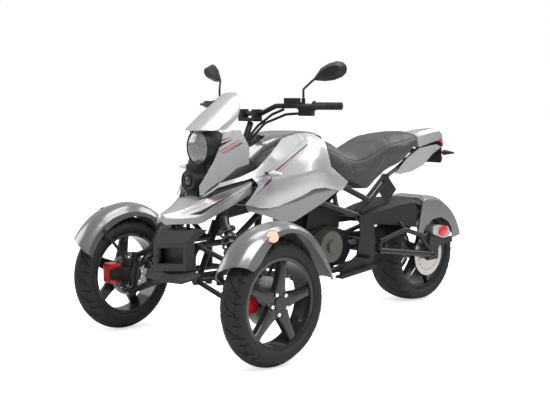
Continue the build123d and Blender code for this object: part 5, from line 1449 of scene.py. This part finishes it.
class Lamps:
    """The headlamp with its bowl, the round lamp under it and the clear front signals."""

    centre = (0.0, 40.0, 862.0)
    round_centre = (0.0, -14.0, 720.0)
    signal = ((262.0, 226.0, 753.0), (336.0, 214.0, 753.0))
    signal_rows = (
        (0.1, 21.6, 14.6), (0.14, 22.6, 15.4), (0.45, 20.0, 13.6), (0.8, 13.6, 9.4), (0.98, 9.0, 6.0),
        (1.04, 3.0, 2.0),
    )
    signal_steps = 40

    def build(self, shop: Workshop) -> None:
        """Builds the lamps."""
        self._headlamp(shop)
        self._round_lamp(shop)
        self._signals(shop)

    def _rings(self, shop: Workshop, name: str, centre, rows, finish: Finish, *nodes: str, close: bool = True):
        """Builds a skin over oval rings given as (depth, half width, half height)."""
        rings = [oval((centre[0], centre[1] + depth, centre[2]), half, tall) for depth, half, tall in rows]
        piece = shop.mesh_object(name, *capped(rings, close))
        return shop.finish(piece, finish, "trike", *nodes)

    def _headlamp(self, shop: Workshop) -> None:
        """Builds the bowl, the bulb shield, the bezel and the domed lens."""
        bowl = [(-1.0, 65.4, 71.4), (2.0, 64.0, 70.0), (6.0, 52.0, 57.0), (10.0, 34.0, 38.0), (13.0, 16.0, 18.0)]
        bowl += [(13.6, 15.0, 17.0), (13.6, 65.4, 71.4)]
        # The bowl shines by painted emission.
        self._rings(shop, "lamp_bowl", self.centre, bowl, GLOWING_BOWL)
        shield = [(12.0, 12.8), (8.0, 13.0), (2.0, 13.0), (0.0, 11.0), (-1.0, 6.0), (-1.2, 0.4)]
        self._rings(shop, "lamp_shield", self.centre, [(d, r, r) for d, r in shield], CHROME)
        band = [(1.0, 30.0, 33.0), (0.0, 31.5, 34.5), (1.0, 33.0, 36.0), (9.0, 33.0, 36.0), (9.0, 30.0, 33.0)]
        self._rings(shop, "lamp_band", self.centre, band + band[:1], CHROME, close=False)
        rim = [(-3.0, 66.0, 72.0), (-6.0, 68.0, 74.0), (-4.0, 72.5, 78.5), (0.5, 74.5, 80.5), (0.5, 66.0, 72.0)]
        self._rings(shop, "lamp_rim", self.centre, rim + rim[:1], PLASTIC, close=False)
        dome = [(-2.0, 65.6, 71.6), (-6.0, 62.0, 68.0), (-10.0, 52.0, 57.0), (-13.0, 36.0, 40.0), (-14.5, 16.0, 18.0)]
        dome += [(-14.7, 0.4, 0.4)]
        dome += [(-12.2, 0.4, 0.4), (-12.0, 16.0, 18.0), (-10.5, 36.0, 40.0), (-7.6, 51.0, 56.0), (-2.0, 63.0, 69.0)]
        self._rings(shop, "lamp_glass", self.centre, dome, CLEAR, "headlamp_lens")

    def _round_lamp(self, shop: Workshop) -> None:
        """Builds the stepped rings and the lens of the round lamp."""
        for name, rows, finish in (
            ("round_bezel", [(0.3, 46.0), (-4.0, 45.0), (-6.0, 42.0), (-5.0, 38.0), (0.3, 36.0)], PLASTIC),
            ("round_ring", [(0.3, 35.0), (-3.0, 34.0), (-3.6, 31.0), (0.3, 29.0)], DARK_GREY),
            ("round_inner", [(0.3, 26.0), (-4.4, 25.0), (-5.0, 22.0), (0.3, 20.0)], PLASTIC),
        ):
            loop = [(depth, radius, radius) for depth, radius in rows]
            self._rings(shop, name, self.round_centre, loop + loop[:1], finish, close=False)
        lens = [(0.3, 19.0), (-5.0, 18.0), (-7.0, 12.0), (-7.8, 0.4)]
        self._rings(shop, "round_lens", self.round_centre, [(d, r, r) for d, r in lens], DARK_GREY)

    def _signals(self, shop: Workshop) -> None:
        """Builds the clear covers of the two front signals."""
        root, end = (np.array(spot) for spot in self.signal)
        reach = (end - root) / np.linalg.norm(end - root)
        across = np.cross(reach, (0.0, 0.0, 1.0))
        across /= np.linalg.norm(across)
        angle = np.arange(self.signal_steps) / self.signal_steps * math.tau
        rings = []
        for share, wide, tall in self.signal_rows:
            middle = root + (end - root) * share
            rings.append(
                middle + np.outer(np.cos(angle) * wide, across) + np.outer(np.sin(angle) * tall, (0.0, 0.0, 1.0))
            )
        piece = shop.mesh_object("signal_lenses", *capped(rings))
        shop.both_sides(piece)
        shop.finish(piece, WHITE_LENS, "trike")


class Screen:
    """The pointed windscreen."""

    rows = (
        (936.0, -4.0, 96.0, 118.0), (990.0, 70.0, 104.0, 178.0), (1045.0, 148.0, 88.0, 204.0),
        (1080.0, 198.0, 66.0, 222.0), (1096.0, 226.0, 30.0, 232.0),
    )
    wall = 4.0
    edge = 1.2
    columns = 33
    ridge_height = 3.0
    ridge_width = 0.16
    ridge_fade = 60.0

    def build(self, shop: Workshop) -> None:
        """Builds the screen as one curved sheet."""
        fine = smooth_line(np.array(self.rows)[:, None, :], 12)[:, 0]
        share = np.linspace(-1.0, 1.0, self.columns)
        table = np.empty((len(fine), len(share), 3))
        for i, (height, front, half, side) in enumerate(fine):
            bow = arc_through((-half, side), (0.0, front), (half, side), len(share) - 1)
            table[i, :, 0] = [x for x, _ in bow]
            table[i, :, 1] = [s for _, s in bow]
            table[i, :, 2] = height
        ridge = np.exp(-(np.abs(share) / self.ridge_width) ** 2) * self.ridge_height
        top = self.rows[-1][0]
        table[:, :, 1] -= ridge[None, :] * np.clip((top - table[:, :, 2]) / self.ridge_fade, 0.0, 1.0)
        piece = shop.mesh_object("screen", rows_to_frame(table).reshape(-1, 3), grid_faces(*table.shape[:2]))
        shop.face_towards(piece, (0.0, -1.0, 0.3))
        shop.thicken(piece, self.wall)
        shop.soften(piece, self.edge, PANEL_ANGLE)
        shop.finish(piece, SILVER, "trike", "windscreen")


class Seat:
    """The two-level seat, blown up as cloth over a slightly smaller form."""

    frames = 20
    reach = 6.0
    inset = 3.0
    voxel = 0.006
    pressure = 4.0
    stiffness = 25.0
    bending = 2.0
    seams = (1062.0, 0.42)
    seam_depths = (2.2, 2.4)
    seam_widths = (3.4, 3.2)

    def build(self, shop: Workshop) -> None:
        rings = [arch(row) for row in SEAT_RINGS]
        form = Panel(
            "seat_pad", "seat", rings, VINYL, None, creases=(0, 6), closed=True, paired=False, row_parts=8, edge=0.0
        ).shaped(shop)
        bpy.context.view_layer.update()
        bm = bmesh.new()
        bm.from_mesh(form.data)
        bmesh.ops.recalc_face_normals(bm, faces=bm.faces)
        bm.to_mesh(form.data)
        bm.free()
        shop.push(form, -self.inset)
        remesh = form.modifiers.new("remesh", "REMESH")
        remesh.mode = "VOXEL"
        remesh.voxel_size = self.voxel
        shop.settle(form)
        self._inflate(shop, form)
        smooth = form.modifiers.new("subdivide", "SUBSURF")
        smooth.levels = 1
        smooth.render_levels = 1
        shop.settle(form)
        self._seams(shop, form)
        shop.finish(form, VINYL, "trike", "seat", smooth=math.radians(70.0))

    def _inflate(self, shop: Workshop, form: bpy.types.Object) -> None:
        """Runs the cloth with a gentle pressure and caps how far each point moves."""
        rest = np.array([vertex.co[:] for vertex in form.data.vertices])
        cloth = form.modifiers.new("cloth", "CLOTH")
        cloth.settings.use_pressure = True
        cloth.settings.uniform_pressure_force = self.pressure
        cloth.settings.tension_stiffness = self.stiffness
        cloth.settings.compression_stiffness = self.stiffness
        cloth.settings.bending_stiffness = self.bending
        cloth.settings.effector_weights.gravity = 0.0
        cloth.point_cache.frame_start = 1
        cloth.point_cache.frame_end = self.frames
        for frame in range(1, self.frames + 1):
            bpy.context.scene.frame_set(frame)
        shop.settle(form)
        bpy.context.scene.frame_set(1)
        moved = np.array([vertex.co[:] for vertex in form.data.vertices]) - rest
        length = np.linalg.norm(moved, axis=1, keepdims=True)
        moved *= np.minimum(1.0, self.reach * MM / np.maximum(length, 1e-9))
        form.data.vertices.foreach_set("co", (rest + moved).ravel())

    def _seams(self, shop: Workshop, form: bpy.types.Object) -> None:
        """Presses the sewn channels into the pad: one across and one along each side."""
        station, lean = self.seams
        places = np.empty(len(form.data.vertices) * 3)
        form.data.vertices.foreach_get("co", places)
        x, s, z = places.reshape(-1, 3).T / MM
        s = s - AXLE_STATION
        stations, _, _, tops, halves = np.array(SEAT_RINGS).T[:5]
        across = np.abs(s - station - (z - 800.0) * lean)
        top, half = np.interp(s, stations, tops), np.interp(s, stations, halves)
        along = np.hypot(z - (top - 8.0), 0.35 * (np.abs(x) - half))
        depths = zip(self.seam_depths, self.seam_widths, (across, along))
        shop.push(form, -sum(depth * np.exp(-((gap / width) ** 2)) for depth, width, gap in depths))


PANELS = (
    Panel(
        "nose", "nose_cowl", NOSE_RINGS, NOSE_SILVER, None, (0.0, -0.3, 1.0), creases=(1, 2, 4, 5), paired=False,
        row_creases=(2,), edge=0.0,
    ),
    Panel("side_shell", "side_cowls", SIDE_RINGS, SIDE_SILVER, SIDE_OUTLINE, creases=(3,)),
    Panel("side_finger", None, SIDE_RINGS, SIDE_SILVER, FINGER_OUTLINE, creases=(3,), lift=2.6, wall=2.4),
    Panel("side_lower", None, SIDE_RINGS, SIDE_SILVER, LOWER_PANEL_OUTLINE, creases=(3,), lift=2.6, wall=2.4),
    # Painted shade: a black sheet set 16 mm in, under the front of the raised upper side panel.
    Panel("side_recess", None, SIDE_RINGS, SHADE_RECESS, RECESS_OUTLINE, creases=(3,), lift=-16.0, wall=2.0),
    Panel("lower_shell", "lower_cowls", LOWER_RINGS, GREY, LOWER_OUTLINE),
    # Painted shade: a dark grey strip along the top of the lower cowl, just under the side panel's lower edge.
    Panel("lower_recess", None, LOWER_RINGS, DARK_GREY, LOWER_SHADE_OUTLINE, lift=1.6, wall=1.5, edge=0.5),
    Panel("mask_shell", "lamp_mask", MASK_RINGS, MASK_SILVER, MASK_OUTLINE, row_creases=(1,)),
    Panel(
        "mask_strip", None, MASK_RINGS, DARK_GREY, MASK_STRIP_OUTLINE, lift=1.6, wall=5.0, edge=0.8, row_creases=(1,)
    ),
)
COLUMN_LOW = (0.0, 46.0, 306.0)
COLUMN_TOP = (0.0, 350.0, 962.0)


class Bodywork:
    """The painted panels of the nose, the masks, the sides and the tank, the dark sheets of painted shade in their
    gaps, and the small parts on them.
    """

    notch_radius = 80.0
    notch_span = (0.6, 1.06)
    caliper_outline = ((1566, 352), (1572, 384), (1590, 396), (1622, 394), (1636, 376), (1632, 350), (1600, 338))
    caliper_sides = (143.0, 151.0)
    caliper_edge = 2.0
    screw_spots = ((166.0, 720.0, 686.0), (104.0, 75.0, 737.0), (112.0, 93.0, 924.0), (122.0, 135.0, 929.0))

    def build(self, shop: Workshop) -> None:
        """Builds all the panels."""
        for panel in PANELS:
            panel.build(shop)
        rings = [arch(row) for row in TANK_RINGS]
        tank = Panel(
            "tank", "tank_cover", rings, TANK, None, (0.0, 0.0, 1.0), creases=(2, 4), paired=False, edge=0.0
        ).shaped(shop)
        low, top = place(*COLUMN_LOW), place(*COLUMN_TOP)
        shop.carve(tank, *(low.lerp(top, share) for share in self.notch_span), self.notch_radius)
        shop.finish(tank, TANK, "trike", "tank_cover")
        self._screws(shop)
        self._rear_caliper(shop)

    def _rear_caliper(self, shop: Workshop) -> None:
        """Builds the red cover on the rear caliper."""
        rings = [[(x, s, z) for s, z in self.caliper_outline] for x in self.caliper_sides]
        piece = shop.mesh_object("caliper_cover", *capped(rings))
        shop.soften(piece, self.caliper_edge)
        shop.finish(piece, CALIPER, "trike")

    def _screws(self, shop: Workshop) -> None:
        """Builds the few screws that hold the panels."""
        screws = Fasteners("panel_screws", "trike", 5.0, 2.6, 16, STEEL)
        for side in (-1, 1):
            for x, station, height in self.screw_spots:
                screws.add((side * x, station, height), (side, -0.25, 0.1))
        screws.build(shop)


class Studio:
    """The camera, the lights, the world and the floor."""

    camera_spot = (3493.0, -2906.0, 1107.0)
    camera_azimuth = 45.70
    camera_elevation = 5.93
    camera_focal = 69.4
    camera_sensor = 36.0
    sky = ((0.44, 0.05), (0.7, 0.62))
    floor_reach = 30.0
    floor_glow = 0.62
    lamps = (
        ("key", (2.6, -1.2, 3.2), (0.0, 0.0, 0.5), 1.8, 85.0),
        ("fill", (-3.2, -2.2, 1.8), (0.0, -0.4, 0.5), 1.8, 30.0),
        ("back", (0.6, 3.4, 2.8), (0.0, 0.3, 0.6), 2.0, 55.0),
        ("top", (0.2, 0.0, 3.4), (0.0, 0.0, 0.5), 2.0, 60.0),
    )

    def build(self) -> None:
        """Makes the whole studio."""
        self.camera()
        self.world()
        self.floor()
        for name, spot, aim, size, power in self.lamps:
            self.lamp(name, Vector(spot), Vector(aim), size, power)

    def camera(self) -> None:
        """Makes the camera at the photograph's place."""
        data = bpy.data.cameras.new("camera")
        data.sensor_width = self.camera_sensor
        data.lens = self.camera_focal
        camera = bpy.data.objects.new("camera", data)
        azimuth, elevation = math.radians(self.camera_azimuth), math.radians(self.camera_elevation)
        back = Vector(
            (math.sin(azimuth) * math.cos(elevation), -math.cos(azimuth) * math.cos(elevation), math.sin(elevation))
        )
        camera.location = place(*self.camera_spot)
        camera.rotation_mode = "QUATERNION"
        camera.rotation_quaternion = (-back).to_track_quat("-Z", "Y")
        bpy.context.scene.collection.objects.link(camera)
        bpy.context.scene.camera = camera

    def lamp(self, name: str, spot: Vector, aim: Vector, size: float, power: float) -> None:
        """Makes one soft square lamp."""
        data = bpy.data.lights.new(name, "AREA")
        data.size = size
        data.energy = power
        lamp = bpy.data.objects.new(name, data)
        lamp.location = spot
        lamp.rotation_mode = "QUATERNION"
        lamp.rotation_quaternion = (aim - spot).to_track_quat("-Z", "Y")
        bpy.context.scene.collection.objects.link(lamp)

    def world(self) -> None:
        """Makes a white background that the camera and glass see, with a calmer graded light on the object and in its
        reflections.
        """
        world = bpy.data.worlds.new("studio")
        world.use_nodes = True
        bpy.context.scene.world = world
        tree = world.node_tree
        path = add_node(tree, "ShaderNodeLightPath").outputs
        seen = maths(tree, "MAXIMUM", path["Is Camera Ray"], path["Is Transmission Ray"])
        coords = add_node(tree, "ShaderNodeTexCoord")
        split = add_node(tree, "ShaderNodeSeparateXYZ", (coords.outputs["Generated"],))
        height = maths(tree, "MULTIPLY_ADD", split.outputs["Z"], 0.5, 0.5)
        ramp = add_node(tree, "ShaderNodeValToRGB", {"Fac": height})
        for element, (position, tone) in zip(ramp.color_ramp.elements, self.sky):
            element.position = position
            element.color = (tone, tone, tone, 1)
        values = {0: seen, 6: ramp.outputs["Color"], 7: (1, 1, 1, 1)}
        blend = add_node(tree, "ShaderNodeMix", values, data_type="RGBA")
        tree.links.new(blend.outputs[2], tree.nodes["Background"].inputs["Color"])

    def floor(self) -> None:
        """Makes the pale floor, which keeps a soft shadow."""
        mesh = bpy.data.meshes.new("floor")
        reach = self.floor_reach
        corners = [(-reach, -reach, 0), (reach, -reach, 0), (reach, reach, 0), (-reach, reach, 0)]
        mesh.from_pydata(corners, [], [(0, 1, 2, 3)])
        floor = bpy.data.objects.new("floor", mesh)
        bpy.context.scene.collection.objects.link(floor)
        material = bpy.data.materials.new("floor")
        material.use_nodes = True
        tree = material.node_tree
        shader = tree.nodes["Principled BSDF"]
        shader.inputs["Base Color"].default_value = (0.9, 0.9, 0.9, 1)
        shader.inputs["Roughness"].default_value = 0.9
        shader.inputs["Emission Color"].default_value = (1, 1, 1, 1)
        path = add_node(tree, "ShaderNodeLightPath")
        glow = maths(tree, "MULTIPLY", path.outputs["Is Camera Ray"], self.floor_glow)
        tree.links.new(glow, shader.inputs["Emission Strength"])
        mesh.materials.append(material)


def dress_nodes(frame: dict, finishes: Finishes) -> None:
    """Gives every CAD node its finish."""
    finish_of = {name: finish for finish, names in FINISHED_NODES for name in names.split()}
    for name, node in frame["nodes"].items():
        material = finishes.get(finish_of[name])
        node.data.materials.clear()
        node.data.materials.append(material)


def wheels(shop: Workshop) -> None:
    """Builds the tyres and rims of the three wheels and both front fenders."""
    for word, side in (("left", 1), ("right", -1)):
        centre = (WHEEL_X * side, 0.0, FRONT_RADIUS)
        body = f"wheel_front_{word}"
        Tyre(
            f"tread_front_{word}", f"tyre_front_{word}", body, centre, FRONT_RADIUS, width=120.0,
            rim_width=FRONT_RIM_WIDTH, tread_share=0.62, crown_drop=22.0, repeats=17,
        ).build(shop)
        Rim(f"star_rim_{word}", f"rim_front_{word}", body, centre, FRONT_RIM_WIDTH, side, hub_reach=50.0).build(shop)
        FrontFender(side).build(shop)
    centre = (0.0, REAR_STATION, REAR_RADIUS)
    Tyre(
        "tread_rear", "tyre_rear", "wheel_rear", centre, REAR_RADIUS, width=190.0, rim_width=REAR_RIM_WIDTH,
        tread_share=0.8, crown_drop=12.0, repeats=15,
    ).build(shop)
    Rim("star_rim_rear", "rim_rear", "wheel_rear", centre, REAR_RIM_WIDTH, 1, hub_reach=119.0).build(shop)


def main() -> None:
    """Builds the whole scene in order."""
    logging.basicConfig(level=logging.INFO, format="%(name)s: %(message)s")
    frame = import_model()
    bpy.context.scene.view_settings.view_transform = "Standard"
    for name in ("Cube", "Light", "Camera"):
        if name in bpy.data.objects:
            bpy.data.objects.remove(bpy.data.objects[name])
    Studio().build()
    finishes = Finishes(ShaderGroups())
    shop = Workshop(finishes)
    dress_nodes(frame, finishes)
    wheels(shop)
    Bodywork().build(shop)
    Screen().build(shop)
    Lamps().build(shop)
    Seat().build(shop)


if __name__ == "__main__":
    main()
